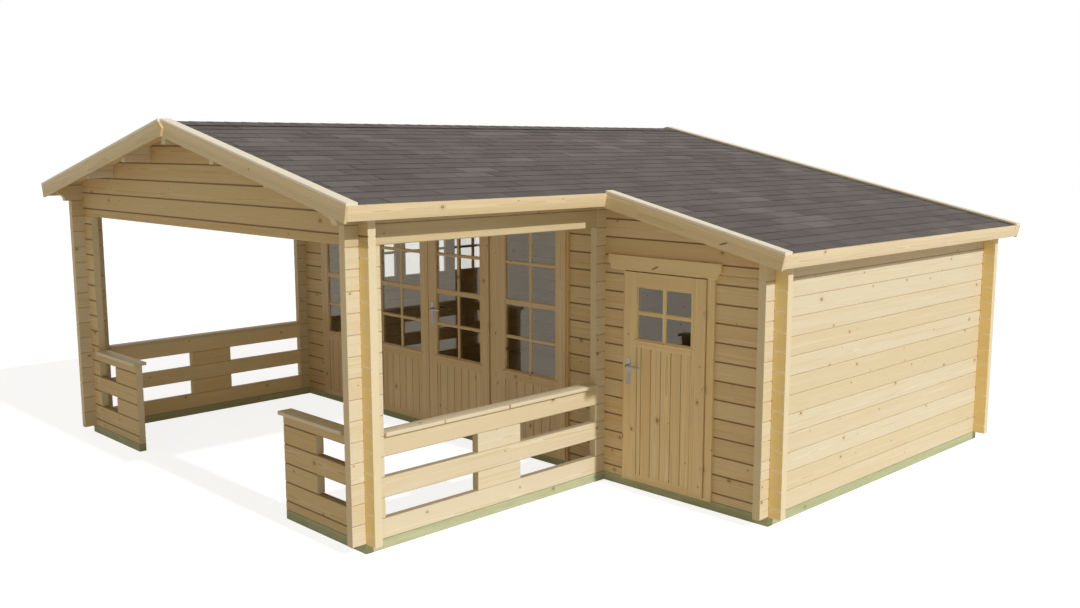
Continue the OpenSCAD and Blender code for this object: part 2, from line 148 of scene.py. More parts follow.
class Socket:
    """One output of a shader node. Sums on it add Math nodes to its finish."""

    def __init__(self, finish, link):
        self.finish, self.link = finish, link

    def output(self, name):
        """Another output of the same node."""
        return Socket(self.finish, self.link.node.outputs[name])

    __add__ = __radd__ = math_node("ADD")
    __mul__ = __rmul__ = math_node("MULTIPLY")
    __sub__, __rsub__ = math_node("SUBTRACT"), math_node("SUBTRACT", swapped=True)
    __truediv__, __pow__ = math_node("DIVIDE"), math_node("POWER")
    __gt__, __lt__ = math_node("GREATER_THAN"), math_node("LESS_THAN")
    __abs__, __floor__, root = math_node("ABSOLUTE"), math_node("FLOOR"), math_node("SQRT")


class Finish:
    """A material, or the sky, built up from nodes, with the place as x, y and z in metres."""

    def __init__(self, name, sky=None):
        self.material = sky or bpy.data.materials.new(name)
        self.material.use_nodes = True
        self.material.node_tree.nodes.clear()
        self.place = self.node("TexCoord", out="Object")
        self.x, self.y, self.z = self.axes(self.place)
        self.faces = self.axes(self.place.output("Normal"))

    def __iter__(self):
        return iter((self.x, self.y, self.z))

    def node(self, kind, values=(), out=0, stops=None, **settings):
        """Adds a node with its settings, and with values or links for its sockets by number or name."""
        tree = self.material.node_tree
        made = tree.nodes.new("ShaderNode" + kind)
        for setting, value in settings.items():
            setattr(made, setting, value)
        if stops:
            for _ in stops[2:]:
                made.color_ramp.elements.new(0.5)
            for element, (position, colour) in zip(made.color_ramp.elements, stops):
                element.position, element.color = position, (*colour, 1)
        for key, value in values.items() if isinstance(values, dict) else enumerate(values):
            if isinstance(value, Socket):
                tree.links.new(value.link, made.inputs[key])
            elif isinstance(value, tuple) and len(made.inputs[key].default_value) == 4:
                made.inputs[key].default_value = (*value, 1)
            elif value is not None:
                made.inputs[key].default_value = value
        return Socket(self, made.outputs[out]) if made.outputs else None

    def axes(self, vector):
        """The three numbers of a vector or colour."""
        split = self.node("SeparateXYZ", [vector])
        return [split.output(letter) for letter in "XYZ"]

    def vector(self, x, y, z):
        return self.node("CombineXYZ", [x, y, z])

    def mix(self, share, first, second, blend="MIX"):
        """Share 0 gives the first colour and share 1 the second."""
        return self.node("Mix", {0: share, 6: first, 7: second}, out=2, data_type="RGBA", blend_type=blend)

    def band(self, value, low, high):
        """0 at low and 1 at high, eased in between."""
        return self.node("MapRange", [value, low, high, 0.0, 1.0], interpolation_type="SMOOTHSTEP")

    def specks(self, per_x, per_y, per_z, detail=2.0, rough=0.5):
        """Noise with so many grains to a metre along each axis."""
        return self.noise(self.vector(self.x * per_x, self.y * per_y, self.z * per_z), detail, rough)

    def noise(self, place, detail=2.0, rough=0.5):
        """Soft noise from 0 to 1 whose grains are about one unit of place across."""
        return self.node("TexNoise", {"Vector": place, "Scale": 1.0, "Detail": detail, "Roughness": rough})

    def shade(self, colour, roughness, height=None, relief=0.0003, **plain):
        """The closing Principled shader; the plain values are the same all over the surface."""
        values = {"Base Color": colour, "Roughness": roughness, **plain}
        if height is not None:
            values["Normal"] = self.node("Bump", {"Height": height, "Distance": relief, "Strength": 1.0})
        return self.close(self.node("BsdfPrincipled", values))

    def close(self, surface):
        self.node("OutputMaterial", [surface])
        return self.material


def dress(material, *names):
    """Gives CAD nodes their finish."""
    for name in names:
        mesh = frame["nodes"][name].data
        mesh.materials.clear()
        mesh.materials.append(material)


def timber(finish, along, up, across, number, tones, knots=0.7):
    """Colour and height of sawn softwood whose grain runs along; up and across are metres from its middle.

    Rings are circles round a wandering pith line: the fraction of distance / RING, to the power 2.5. Knots
    are spots round one point in each stride, and the rings bow round them. Each number is its own piece."""
    pale, warm, late = tones
    chance = finish.node("TexWhiteNoise", {"W": number}, out="Color", noise_dimensions="1D")
    first, second, third = finish.axes(chance)
    spot = finish.vector(along / KNOT_STRIDE + first * 40, up / KNOT_BAND + number * 5, 0.0)
    cell = finish.node("TexVoronoi", {"Vector": spot, "Scale": 1.0}, out="Position",
                       voronoi_dimensions="2D")
    aside = finish.axes(finish.node("VectorMath", [spot, cell], operation="SUBTRACT"))
    far = ((aside[0] * KNOT_STRIDE * 0.75) ** 2 + (aside[1] * KNOT_BAND) ** 2).root()
    size, kept, _ = finish.axes(cell.output("Color"))
    radius = size ** 2.2 * (KNOT_MAX - KNOT_MIN) + KNOT_MIN
    present = kept < knots
    knot = (1 - finish.band(far / radius, 0.8, 1.1)) * present
    halo = (1 - finish.band(far / radius, 1.0, 3.2)) * present
    seed = number * 3.1 + first * 9
    drift = finish.noise(finish.vector(along * 0.6, seed, 0.0), 1.0)
    wobble = finish.noise(finish.vector(along * 1.6, up * 9, across * 9 + seed), 2.0)
    from_pith = ((up + (first - 0.5) * 0.07 + (drift - 0.5) * 0.08) ** 2
                 + (across + (second - 0.5) * 0.09) ** 2).root()
    ring = finish.node("Math", [(from_pith + wobble * 0.012 + halo * 0.006) / RING], operation="FRACT") ** 2.5
    fibre = finish.noise(finish.vector(along * 9, up * 420, across * 420 + seed), 2.0)
    streak = finish.noise(finish.vector(along * 1.1, up * 34, across * 34 + seed), 3.0, 0.6)
    colour = finish.mix(finish.band(streak + (third - 0.5) * 0.45, 0.33, 0.7), pale, warm)
    colour = finish.mix(ring * 0.55 + fibre * 0.18, colour, late)
    colour = finish.mix(halo * 0.45, colour, late)
    colour = finish.mix(knot * (finish.band(far / radius, 0.0, 0.9) * 0.3 + 0.45), colour, KNOT)
    return colour, fibre * 0.7 - ring * 0.6 - knot * 0.5


RING = 0.0045           # growth of one year
KNOT_STRIDE, KNOT_BAND = 0.45, 0.16      # a knot for each such length and height of the piece
KNOT_MIN, KNOT_MAX = 0.0032, 0.0127
KNOT = (0.18, 0.085, 0.024)
GREENS = (0.60, 0.60, 0.39), (0.49, 0.51, 0.30), (0.33, 0.36, 0.18)
SALTS = (0.36, 0.42, 0.23)
BEAM_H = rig.box("foundation_long_beams")[1].z
finish = Finish("impregnated_beam")
x, y, z = finish
along_y = abs(finish.faces[0]) > 0.5
colour, height = timber(finish, x + (y - x) * along_y, z - BEAM_H / 2, 0.0, floor(x * 0.7) + 3, GREENS, 0.5)
colour = finish.mix(finish.band(finish.specks(6, 6, 22, 4.0, 0.6), 0.35, 0.7) * 0.45, colour, SALTS)
dress(finish.shade(colour, 0.75, height, 0.0006), "foundation_long_beams", "foundation_cross_beams")

# ------------------------------
# Logs: planed spruce 58 mm thick in courses of 135 mm. The side walls start
# with a whole log and the others with half a one, so that they interlock.

COURSE = 0.135
LOG_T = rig.box("right_railing_logs")[1].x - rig.box("right_railing_logs")[0].x
# one spruce in two painted copies: pale tones as if sunlit for logs along Y, darker and warmer tones as if shaded for
# logs along X
WARM_Y, LATE_Y = (0.74, 0.635, 0.425), (0.62, 0.45, 0.23)
PAINTED_SUNLIT_TONES = (0.79, 0.715, 0.54), WARM_Y, LATE_Y
PAINTED_SHADED_TONES = (0.82, 0.655, 0.38), (0.74, 0.555, 0.285), (0.55, 0.36, 0.145)
# painted golden bounce light for the stubs of logs along X
PAINTED_BOUNCE_GOLD = (1.0, 0.77, 0.33)
SUNLIT_END_X, SHADED_END_Y = (0.86, 0.76, 0.54), (0.78, 0.59, 0.30)
SUNLIT_EDGE = (1.0, 0.87, 0.60)
GROOVE_SHADE = (0.22, 0.12, 0.04)
JOINT_Y, JOINT_X = 0.0035, 0.0100       # how far the painted shade of a joint's groove reaches into a log
DARK_Y, DARK_X = 0.42, 0.75             # and how dark that painted shade is
PURLIN_X = 0.671                        # near face of the purlins next to the ridge
PAINTED_BOUNCE_TINT = (1.22, 1.16, 1.0)              # painted bounce light that brightens the left railing in the roof's shade
SHADY = (0.88, 0.84, 0.73)              # painted shade that darkens the front gable, its parapets and the eave beams


def log_wood(name, lies_x, middle_x, middle_y, seed, past_x=9.0, tint=(1.0, 1.0, 1.0), tinted=None):
    """Finish of logs; lies_x is 1 for logs along X, 0 along Y, or a test of the place for a corner.

    On logs along X from past_x outwards, painted golden bounce light stands in for the light thrown from the sunlit
    logs beside them, and a painted sunlit line replaces the groove shade. tint multiplies the colour all over, or
    where the test tinted gives 1."""
    finish = Finish(name)
    x, y, z = finish
    share = lies_x(finish) if callable(lies_x) else lies_x
    beside = abs(x) - middle_x
    courses = (z - BEAM_H) / COURSE + share * 0.5
    number = floor(courses)
    up = (courses - number - 0.5) * COURSE
    along = y + (x - y) * share
    across = beside + (y - middle_y - beside) * share
    number = number + share * 31 + seed + (x > 0.0) * (1 - share) * 57
    tones = [finish.mix(share, *pair) for pair in zip(PAINTED_SUNLIT_TONES, PAINTED_SHADED_TONES)]
    colour, height = timber(finish, along, up, across, number, tones)
    colour = finish.mix(tinted(finish) if tinted else 1.0, colour, tint, "MULTIPLY")
    # end grain in two painted copies: pale as if sunlit on logs along X, warmer as if shaded on logs along Y
    end = finish.band(abs(finish.faces[1] + (finish.faces[0] - finish.faces[1]) * share), 0.7, 0.9)
    pores = finish.noise(finish.vector(up * 300, across * 300, number))
    colour = finish.mix(end * 0.8, colour, finish.mix(pores, finish.mix(share, SHADED_END_Y, SUNLIT_END_X), WARM_Y))
    # painted golden bounce light on the stubs of logs along X past past_x, and a painted sunlit line along their edges
    run_past = finish.band(abs(x), past_x, past_x + 0.004) * share * (1 - end)
    colour = finish.mix(run_past * 0.88, colour, PAINTED_BOUNCE_GOLD)
    # painted shade darkens the grooves between courses, except on the sunlit stubs
    reach = JOINT_Y + share * (JOINT_X - JOINT_Y)
    edge = finish.band(abs(up), COURSE / 2 - reach, COURSE / 2 - reach * 0.25) * (1 - end)
    colour = finish.mix(edge * (DARK_Y + share * (DARK_X - DARK_Y)) * (1 - run_past), colour, GROOVE_SHADE)
    colour = finish.mix(edge * run_past, colour, SUNLIT_EDGE)
    return finish.shade(colour, 0.62, height)


def at_gable(finish):
    """1 on the cross logs of a corner post."""
    return abs(finish.y - GABLE_MID) < LOG_T / 2 + 0.001


def on_left(finish):
    """1 left of the ridge."""
    return finish.x < 0.0


def centre_of(node):
    """Middle of a node's box."""
    low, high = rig.box(node)
    return (low + high) / 2


SIDE_MID, STORE_MID = centre_of("right_railing_logs").x, centre_of("store_side_wall").x
GABLE_MID, REAR_MID = centre_of("front_gable_wall").y, centre_of("rear_wall").y
PAST_SIDE, PAST_STORE = SIDE_MID + LOG_T / 2, STORE_MID + LOG_T / 2
dress(log_wood("post_logs", at_gable, SIDE_MID, GABLE_MID, 2, PAST_SIDE), "front_left_corner_post",
      "front_right_corner_post")
dress(log_wood("rail_logs", 0, SIDE_MID, 0.0, 5, tint=PAINTED_BOUNCE_TINT, tinted=on_left), "left_railing_logs",
      "right_railing_logs")
dress(log_wood("rail_blocks", 0, SIDE_MID, 0.0, 211, tint=PAINTED_BOUNCE_TINT, tinted=on_left), "railing_blocks")
dress(log_wood("eave_logs", 0, SIDE_MID, 0.0, 5, tint=SHADY), "eave_beams")
dress(log_wood("front_logs", 1, 0.0, GABLE_MID, 11, tint=SHADY), "front_gable_wall", "left_parapet_logs",
      "right_parapet_logs", "parapet_blocks")
dress(log_wood("side_logs", 0, SIDE_MID, 0.0, 17), "left_side_wall", "partition_wall")
dress(log_wood("store_side_logs", 0, STORE_MID, 0.0, 23), "store_side_wall")
dress(log_wood("cabin_front_logs", 1, 0.0, 0.0, 29), "cabin_front_wall", "cabin_front_gable")
dress(log_wood("store_front_logs", 1, 0.0, 0.0, 37, PAST_STORE), "store_front_wall", "store_front_header")
dress(log_wood("rear_logs", 1, 0.0, REAR_MID, 41, PAST_STORE), "rear_wall")
dress(log_wood("purlin_logs", 0, PURLIN_X + LOG_T / 2, 0.0, 47), "roof_purlins")

# ------------------------------
# Handrails and caps of the low walls: planed boards laid flat on the top log,
# wider than it on both sides, with their long edges rounded over.


def carried(section, path, across, up, loop=False):
    """A profile carried along a path: point i, j is path i + section j,0 * across i + section j,1 * up i."""
    section, path = np.asarray(section, float), np.asarray(path, float)
    across, up = (np.broadcast_to(np.asarray(way, float), path.shape) for way in (across, up))
    points = path[:, None] + section[None, :, :1] * across[:, None] + section[None, :, 1:] * up[:, None]
    return skin(points, loop)


def skin(points, loop=False):
    """Faces over rings of points, from each ring to the next; open ends are closed by a face each."""
    index = np.arange(points.size // 3).reshape(points.shape[:2])
    here, ahead = (index, np.roll(index, -1, 0)) if loop else (index[:-1], index[1:])
    faces = np.stack([here, np.roll(here, -1, 1), np.roll(ahead, -1, 1), ahead], -1).reshape(-1, 4).tolist()
    if not loop:
        faces += [index[0][::-1].tolist(), index[-1].tolist()]
    return outward(points.reshape(-1, 3), faces)


def outward(points, faces):
    """The part with its faces turned outwards: the fans of its faces enclose a volume above zero."""
    fans = np.array([(face[0], face[k], face[k + 1]) for face in faces for k in range(1, len(face) - 1)])
    a, b, c = (points[fans[:, k]] for k in range(3))
    if np.einsum("ij,ij->", a, np.cross(b, c)) < 0:
        faces = [face[::-1] for face in faces]
    return points, faces


def repeated(part, moves):
    """The part again at each move."""
    points, faces = part
    shifted = (points[None] + np.asarray(moves, float)[:, None]).reshape(-1, 3)
    return shifted, [[corner + k * len(points) for corner in face]
                     for k in range(len(moves)) for face in faces]


def mirrored(parts, both=True):
    """Parts on the left as well as on the right, or only on the left."""
    return [half for points, faces in parts
            for half in ([(points, faces)] * both + [(points * (-1, 1, 1), [face[::-1] for face in faces])])]


def eased(half_w, half_h, radius, steps=3):
    """Section of a board: a rectangle whose corners are quarter circles."""
    radius = min(radius, half_w, half_h)
    angle = (np.arange(4)[:, None] * pi + np.linspace(0, pi, steps)) / 2
    centre = np.array([(1, 1), (-1, 1), (-1, -1), (1, -1)]) * (half_w - radius, half_h - radius)
    return (centre[:, None] + radius * np.stack([np.cos(angle), np.sin(angle)], -1)).reshape(-1, 2)


def board(low, high, ease, runs="y"):
    """A straight board with eased long edges, filling the box from low to high and running along one axis."""
    middle, half = (np.array(high) + low) / 2, (np.array(high) - low) / 2
    ahead, across, up = np.eye(3)[{"x": [0, 1, 2], "y": [1, 0, 2], "z": [2, 0, 1]}[runs]]
    return carried(eased(half @ across, half @ up, ease), [middle - half * ahead, middle + half * ahead],
                   across, up)


def made(name, parts, material, slot, *nodes, body="cabin", crease=None, tones=None):
    """Joins parts into one piece that rides on a body, takes a slot's finish and may replace CAD nodes.
    Edges past the angle crease stay sharp, and tones has a number for each face."""
    joined, joined_faces = [], []
    for points, faces in parts:
        joined_faces += [[int(corner) + len(joined) for corner in face] for face in faces]
        joined += points.tolist()
    mesh = bpy.data.meshes.new(name)
    mesh.from_pydata(joined, [], joined_faces)
    mesh.materials.append(material)
    if crease is not None:
        mesh.polygons.foreach_set("use_smooth", np.ones(len(mesh.polygons), bool))
        mesh.set_sharp_from_angle(angle=radians(crease))
    if tones is not None:
        mesh.attributes.new("tone", "FLOAT", "FACE").data.foreach_set("value", np.asarray(tones, np.float32))
    piece = bpy.data.objects.new(name, mesh)
    bpy.context.scene.collection.objects.link(piece)
    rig.ride(piece, body)
    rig.slot(piece, slot)
    if nodes:
        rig.replaces(piece, *nodes)


def right_box(name, past=0.0):
    """Lowest and highest corner of the part of a CAD node that lies right of a place along X."""
    corners = np.array([corner.co for corner in frame["nodes"][name].data.vertices])
    corners = corners[corners[:, 0] > past]
    return corners.min(0), corners.max(0)


RAIL_EASE = 0.004
rail_z = right_box("handrails")[0][2]
for node, piece, runs, number in (("handrails", "handrail", "y", 301),
                                  ("parapet_caps", "parapet_cap", "x", 317)):
    finish = Finish(f"{piece}_wood")
    along, beside = finish.y, abs(finish.x) - SIDE_MID
    if runs == "x":
        along, beside = finish.x, finish.y - GABLE_MID
    colour, height = timber(finish, along, beside, finish.z - rail_z, (finish.x > 0.0) * 3 + number,
                            PAINTED_SUNLIT_TONES, knots=0.6)
    made(f"{piece}_boards", mirrored([board(*right_box(node), RAIL_EASE, runs)]),
         finish.shade(colour, 0.55, height), "trim_wood", node, crease=40)

# ------------------------------
# Roof boards: planed tongued boards nailed down the slope from ridge to eave,
# with a V joint underneath. The right-hand slope runs on over the store.

PITCH = atan(0.225)
BOARD_T = 0.020
RIDGE_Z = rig.box("roof_deck_right")[1].z - BOARD_T / cos(PITCH)
BOARD_W, BOARD_V, BOARD_GAP = 0.095, 0.0035, 0.0006


def slope(side, s, n, y=0.0):
    """Points s down a slope and n square to it, from the ridge of the boards' underside.

    X is s * cos + n * sin of the pitch, and Z falls from the ridge by s * sin - n * cos."""
    out, down = s * cos(PITCH) + n * sin(PITCH), s * sin(PITCH) - n * cos(PITCH)
    return np.stack([side * out, out * 0 + y, RIDGE_Z - down], -1)


def down_slope(section, side, s0, s1, plumb=False):
    """A profile in Y and height carried down a slope; its upper end is square or, at the ridge, plumb."""
    square = slope(side, 0.0, 1.0) - slope(side, 0.0, 0.0)
    top = np.array((0.0, 0.0, 1.0 / cos(PITCH))) if plumb else square
    return carried(section, [slope(side, s0, 0.0), slope(side, s1, 0.0)], (0.0, 1.0, 0.0), [top, square])


def roof_length(x, n=0.0):
    """How far down the slope a point at x lies."""
    return (x - n * sin(PITCH)) / cos(PITCH)


def roof_boards(side, s0, s1, y0, y1):
    """Boards laid side by side along Y, each with two bevelled lower edges."""
    count = round((y1 - y0) / BOARD_W)
    width = (y1 - y0) / count
    v, edge = BOARD_V, width - BOARD_GAP
    section = [(0, v), (v, 0), (edge - v, 0), (edge, v), (edge, BOARD_T), (0, BOARD_T)]
    moves = [(0, y0 + k * width, 0) for k in range(count)]
    return repeated(down_slope(section, side, s0, s1, plumb=s0 == 0), moves)


def on_roof(finish):
    """Distance down the slope and height above the boards' underside."""
    x, z = abs(finish.x), finish.z - RIDGE_Z
    return x * cos(PITCH) - z * sin(PITCH), x * sin(PITCH) + z * cos(PITCH)


deck_low, deck_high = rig.box("roof_deck_right")
STORE_END = roof_length(deck_high.x, BOARD_T)
MAIN_END = roof_length(-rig.box("roof_deck_left")[0].x, BOARD_T)
STORE_DECK_Y = right_box("roof_deck_right", MAIN_END)[0][1]
left_deck_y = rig.box("roof_deck_left")[0].y
finish = Finish("roof_board")
x, y, _ = finish
down, above = on_roof(finish)
number = floor((y - deck_low.y) / BOARD_W) + (x > 0.0) * 90 + 400
beside = y - (floor(y / BOARD_W) + 0.5) * BOARD_W
colour, height = timber(finish, down, beside, above, number, PAINTED_SHADED_TONES)
ROOF_BOARD = finish.shade(colour, 0.65, height)
made("left_roof_boards", [roof_boards(-1, 0.0, MAIN_END, left_deck_y, deck_high.y)], ROOF_BOARD,
     "roof_board", "roof_deck_left")
made("right_roof_boards", [roof_boards(1, 0.0, MAIN_END, deck_low.y, STORE_DECK_Y),
                           roof_boards(1, 0.0, STORE_END, STORE_DECK_Y, deck_high.y)], ROOF_BOARD,
     "roof_board", "roof_deck_right")

# ------------------------------
# Shingles: bitumen strips cut into square tabs and covered with granules,
# nailed over felt in courses that break joint and vary in tone.

SHINGLE_TOP = 0.028
EXPOSED = (STORE_END - MAIN_END) / 11
LAP = 0.022
TAB_W, TAB_GAP, BUTT = 0.333, 0.004, 0.0034
FELT_T, FELT_GAP = 0.0015, 0.0004
HEXAHEDRON = np.array([(0, 1, 2, 3), (7, 6, 5, 4), (0, 4, 5, 1), (1, 5, 6, 2), (2, 6, 7, 3), (3, 7, 4, 0)])
luck = np.random.default_rng(7)


def shingle_tabs(side, s0, s1, y0, y1, first_row=0):
    """Wedges in rows up a slope, each half a tab out from the row below and a butt thicker at its foot.

    Rows count up from the foot at s1. Returns the part, and a tone for each of its faces."""
    rows = np.arange(int(np.ceil((s1 - s0) / EXPOSED - 0.01)))
    columns = np.arange(-1, int((y1 - y0) / TAB_W) + 2)
    row, column = (grid.ravel() for grid in np.meshgrid(rows, columns, indexing="ij"))
    start = y0 + (column + 0.5 * ((row + first_row) % 2)) * TAB_W + luck.uniform(-0.004, 0.004, row.size)
    end = np.minimum(start + TAB_W - TAB_GAP, y1)
    start = np.maximum(start, y0)
    kept = end - start > 0.02
    row, start, end = row[kept], start[kept], end[kept]
    foot = s1 - row * EXPOSED + luck.uniform(-0.0012, 0.0012, row.size) * (row > 0)
    head = np.maximum(foot - EXPOSED - LAP, s0)
    low, top = SHINGLE_TOP - 2 * BUTT, SHINGLE_TOP - BUTT
    s, y = np.stack([head, head, foot, foot] * 2, 1), np.stack([start, end, end, start] * 2, 1)
    n = np.repeat([low - BUTT * 0.3, low + BUTT * 0.2, top - BUTT * 0.6, SHINGLE_TOP], 2)
    points = slope(side, s, n, y)
    faces = (np.arange(len(s))[:, None, None] * 8 + HEXAHEDRON).reshape(-1, 4).tolist()
    return outward(points.reshape(-1, 3), faces), np.repeat(luck.uniform(0, 1, len(s)), 6)


def felt(side, s0, s1, y0, y1):
    """The underlay that shows dark between tabs: a thin rectangle carried down the slope."""
    low = BOARD_T + FELT_GAP
    top = low + FELT_T
    return down_slope([(y0, low), (y1, low), (y1, top), (y0, top)], side, s0, s1)


SLATES = [(0.0, (0.137, 0.118, 0.113)), (0.3, (0.166, 0.146, 0.139)), (0.65, (0.186, 0.165, 0.156)),
          (0.88, (0.200, 0.178, 0.172)), (1.0, (0.270, 0.246, 0.235))]
DARK_GRIT, PALE_GRIT, DUST = (0.05, 0.045, 0.042), (0.26, 0.235, 0.22), (0.21, 0.19, 0.175)
HEAD_SHADE = (0.06, 0.052, 0.047)
finish = Finish("shingle")
tone = finish.node("Attribute", out="Fac", attribute_name="tone", attribute_type="GEOMETRY")
blend = finish.node("ValToRGB", [tone], stops=SLATES)
grain = finish.axes(finish.node("TexVoronoi", {"Vector": finish.place, "Scale": 420.0}, out="Color"))[0]
colour = finish.mix(0.55, blend, finish.mix(grain, DARK_GRIT, PALE_GRIT), "OVERLAY")
colour = finish.mix(finish.band(finish.specks(3, 3, 3, 4.0, 0.6), 0.35, 0.75) * 0.25, colour, DUST)
# painted shadow: a dark band on each row just below the butt of the row above
courses = (STORE_END - on_roof(finish)[0]) / EXPOSED
head = finish.band(courses - floor(courses + 0.004), 0.93, 1.0)
SHINGLE = finish.shade(finish.mix(head * 0.35, colour, HEAD_SHADE), 0.9, grain, 0.0008)
for side, name, areas in ((-1, "left", [(0.0, MAIN_END, left_deck_y, deck_high.y)]),
                          (1, "right", [(0.0, MAIN_END, deck_low.y, deck_high.y),
                                        (MAIN_END, STORE_END, STORE_DECK_Y, deck_high.y)])):
    tabs, tones = zip(*(shingle_tabs(side, *area, first_row=k) for k, area in enumerate(areas)))
    made(f"{name}_shingle_tabs", list(tabs), SHINGLE, "shingle", f"shingles_{name}",
         tones=np.concatenate(tones))
    made(f"{name}_underlay", [felt(side, *area) for area in areas], SHINGLE, "shingle",
         tones=np.zeros(6 * len(areas)))

# ------------------------------
# Ridge: tabs of the same shingle bent over the ridge and lapped towards the
# front, each one's butt over the head of the one before.

ridge_low, ridge_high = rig.box("ridge_cap")
RIDGE_LEG = roof_length(ridge_high.x, 0.034)
RIDGE_T, RIDGE_LIFT = 0.0028, 0.0004


def ridge_tab(y):
    """A strip bent over the ridge: a thin section that follows both slopes, carried along Y from its foot,
    at y, to its head, which lies lower."""
    arms = np.linspace(-RIDGE_LEG, RIDGE_LEG, 9)
    rings = []
    for end, lift in ((y, RIDGE_T), (y + EXPOSED + LAP, RIDGE_LIFT)):
        under, over = (np.array([slope(np.sign(s) or 1, abs(s), SHINGLE_TOP + lift + t) for s in arms])
                       for t in (0.0, RIDGE_T - 0.0002))
        under[4, 0] = over[4, 0] = 0.0
        rings.append(np.concatenate([under, over[::-1]]) + (0, end, 0))
    return skin(np.array(rings))


ridge_count = int((ridge_high.y - ridge_low.y - LAP) / EXPOSED)
ridge_pitch = (ridge_high.y - ridge_low.y - EXPOSED - LAP) / (ridge_count - 1)
ridge_part = ridge_tab(ridge_low.y)
made("ridge_tabs", [repeated(ridge_part, [(0, k * ridge_pitch, 0) for k in range(ridge_count)])], SHINGLE,
     "shingle", "ridge_cap", tones=np.repeat(luck.uniform(0, 1, ridge_count), len(ridge_part[1])))

# ------------------------------
# Barge boards, caps over them and the shingles' edge, and eave boards, of
# planed spruce. At the front ridge the left board passes before the right.

BARGE_DROP, FASCIA_DROP = 0.078, 0.068
SLIT, RIDGE_CUT = 0.0002, 0.001         # between boards that lie on one another, and that meet
TRIM_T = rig.box("shingles_left")[0].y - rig.box("barge_boards")[0].y
CAP_W = ridge_low.y - deck_low.y + TRIM_T
CAP_T, TRIM_EASE, CAP_EASE = 0.020, 0.0012, 0.0025
CAP_PAINTED_HIGHLIGHT = (1.0, 0.95, 0.82)
BARGE_TONES = (0.75, 0.60, 0.345), (0.68, 0.52, 0.28), LATE_Y
EAVE_TONES = (0.87, 0.735, 0.50), (0.79, 0.64, 0.39), LATE_Y
SPIKE_S, SPIKE_DROP = 0.47, 0.034       # how far up from the eave the barge board's spike knot lies
LAP_X, LAP_FALL, LAP_FOOT_X = 0.055, 0.020, 0.030       # the left board's end, lapped over the right
LEFT_Y, FRONT_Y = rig.box("barge_boards")[0].y, left_deck_y
STORE_Y = STORE_DECK_Y - TRIM_T
REAR_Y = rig.box("barge_boards")[1].y
END_S, STORE_END_S = MAIN_END + TRIM_T, STORE_END + TRIM_T


def spike_knot(finish, colour, along, up, turn, length=0.085):
    """The colour with a dark spindle at place 0, 0, turned from the grain: a branch sawn lengthways."""
    lengthways = along * cos(turn) + up * sin(turn)
    sideways = up * cos(turn) - along * sin(turn)
    far = ((lengthways / (length / 2)) ** 2 + (sideways / 0.008) ** 2).root()
    return finish.mix((1 - finish.band(far, 0.65, 1.0)) * 0.85, colour, KNOT)


def sloped_board(side, s0, s1, n0, n1, y0, y1, ease):
    """A board down the slope with eased edges; from the ridge its upper end is cut plumb."""
    section = eased((y1 - y0) / 2, (n1 - n0) / 2, ease) + ((y0 + y1) / 2, (n0 + n1) / 2)
    return down_slope(section, side, s0, s1, plumb=s0 < 0.01)


runs = [(-1, 0.0, END_S, LEFT_Y, 1), (1, RIDGE_CUT, END_S, FRONT_Y, 1),
        (1, END_S - TRIM_T, STORE_END_S, STORE_Y, 1), (1, RIDGE_CUT, STORE_END_S, REAR_Y, -1),
        (-1, RIDGE_CUT, END_S, REAR_Y, -1)]
boards, caps = ([sloped_board(side, s0, s1, n0, n1, *sorted((y, y + way * wide)), ease)
                 for side, s0, s1, y, way in runs]
                for n0, n1, wide, ease in ((-BARGE_DROP, SHINGLE_TOP, TRIM_T, TRIM_EASE),
                                           (SHINGLE_TOP + SLIT, SHINGLE_TOP + CAP_T, CAP_W, CAP_EASE)))
top, foot = (slope(1, roof_length(0.0, n), n)[2] for n in (SHINGLE_TOP, -BARGE_DROP))
boards.append(carried([(0.0, top), (LAP_X, RIDGE_Z - LAP_FALL), (LAP_FOOT_X, foot), (0.0, foot)],
                      [(0.0, LEFT_Y, 0.0), (0.0, LEFT_Y + TRIM_T - SLIT, 0.0)], (1, 0, 0), (0, 0, 1)))
finish = Finish("barge_wood")
x, y, _ = finish
down, above = on_roof(finish)
number = floor(y * 2) + (x > 0.0) * 7 + 500
half_up = above + (BARGE_DROP - SHINGLE_TOP) / 2
colour, height = timber(finish, down, half_up, y - floor(y * 2) * 0.5, number, BARGE_TONES)
spike_s = down - STORE_END_S + SPIKE_S + (y > 0.0)
colour = spike_knot(finish, colour, spike_s, above + SPIKE_DROP, radians(26))
# painted highlight: the caps over the barge boards are made paler as if sunlit
colour = finish.mix((above > SHINGLE_TOP) * 0.7, colour, CAP_PAINTED_HIGHLIGHT)
BARGE_WOOD = finish.shade(colour, 0.55, height)
made("barge_timbers", boards, BARGE_WOOD, "trim_wood", "barge_boards", crease=40)
made("barge_cap_boards", caps, BARGE_WOOD, "trim_wood", "barge_caps", crease=40)


def eave_board(side, s, y0, y1):
    """A board along an eave, square to the slope, from below the roof boards to the shingles' top."""
    middle, half = (SHINGLE_TOP - FASCIA_DROP) / 2, (SHINGLE_TOP + FASCIA_DROP - 0.0006) / 2
    section = eased(TRIM_T / 2, half, TRIM_EASE) + (s - TRIM_T / 2, middle)
    top = slope(side, 0.0, 0.0)
    return carried(section, [top + (0, y0, 0), top + (0, y1, 0)], slope(side, 1.0, 0.0) - top,
                   slope(side, 0.0, 1.0) - top)


finish = Finish("eave_board_wood")
down, above = on_roof(finish)
colour, height = timber(finish, finish.y, above + (FASCIA_DROP - SHINGLE_TOP) / 2, 0.0,
                        floor(down) + (finish.x > 0.0) * 7 + 540, EAVE_TONES, knots=0.5)
made("eave_boards", [eave_board(-1, END_S, left_deck_y, deck_high.y),
                     eave_board(1, END_S, deck_low.y, STORE_Y),
                     eave_board(1, STORE_END_S, STORE_DECK_Y, deck_high.y)],
     finish.shade(colour, 0.55, height), "trim_wood", "eave_fascias", crease=40)

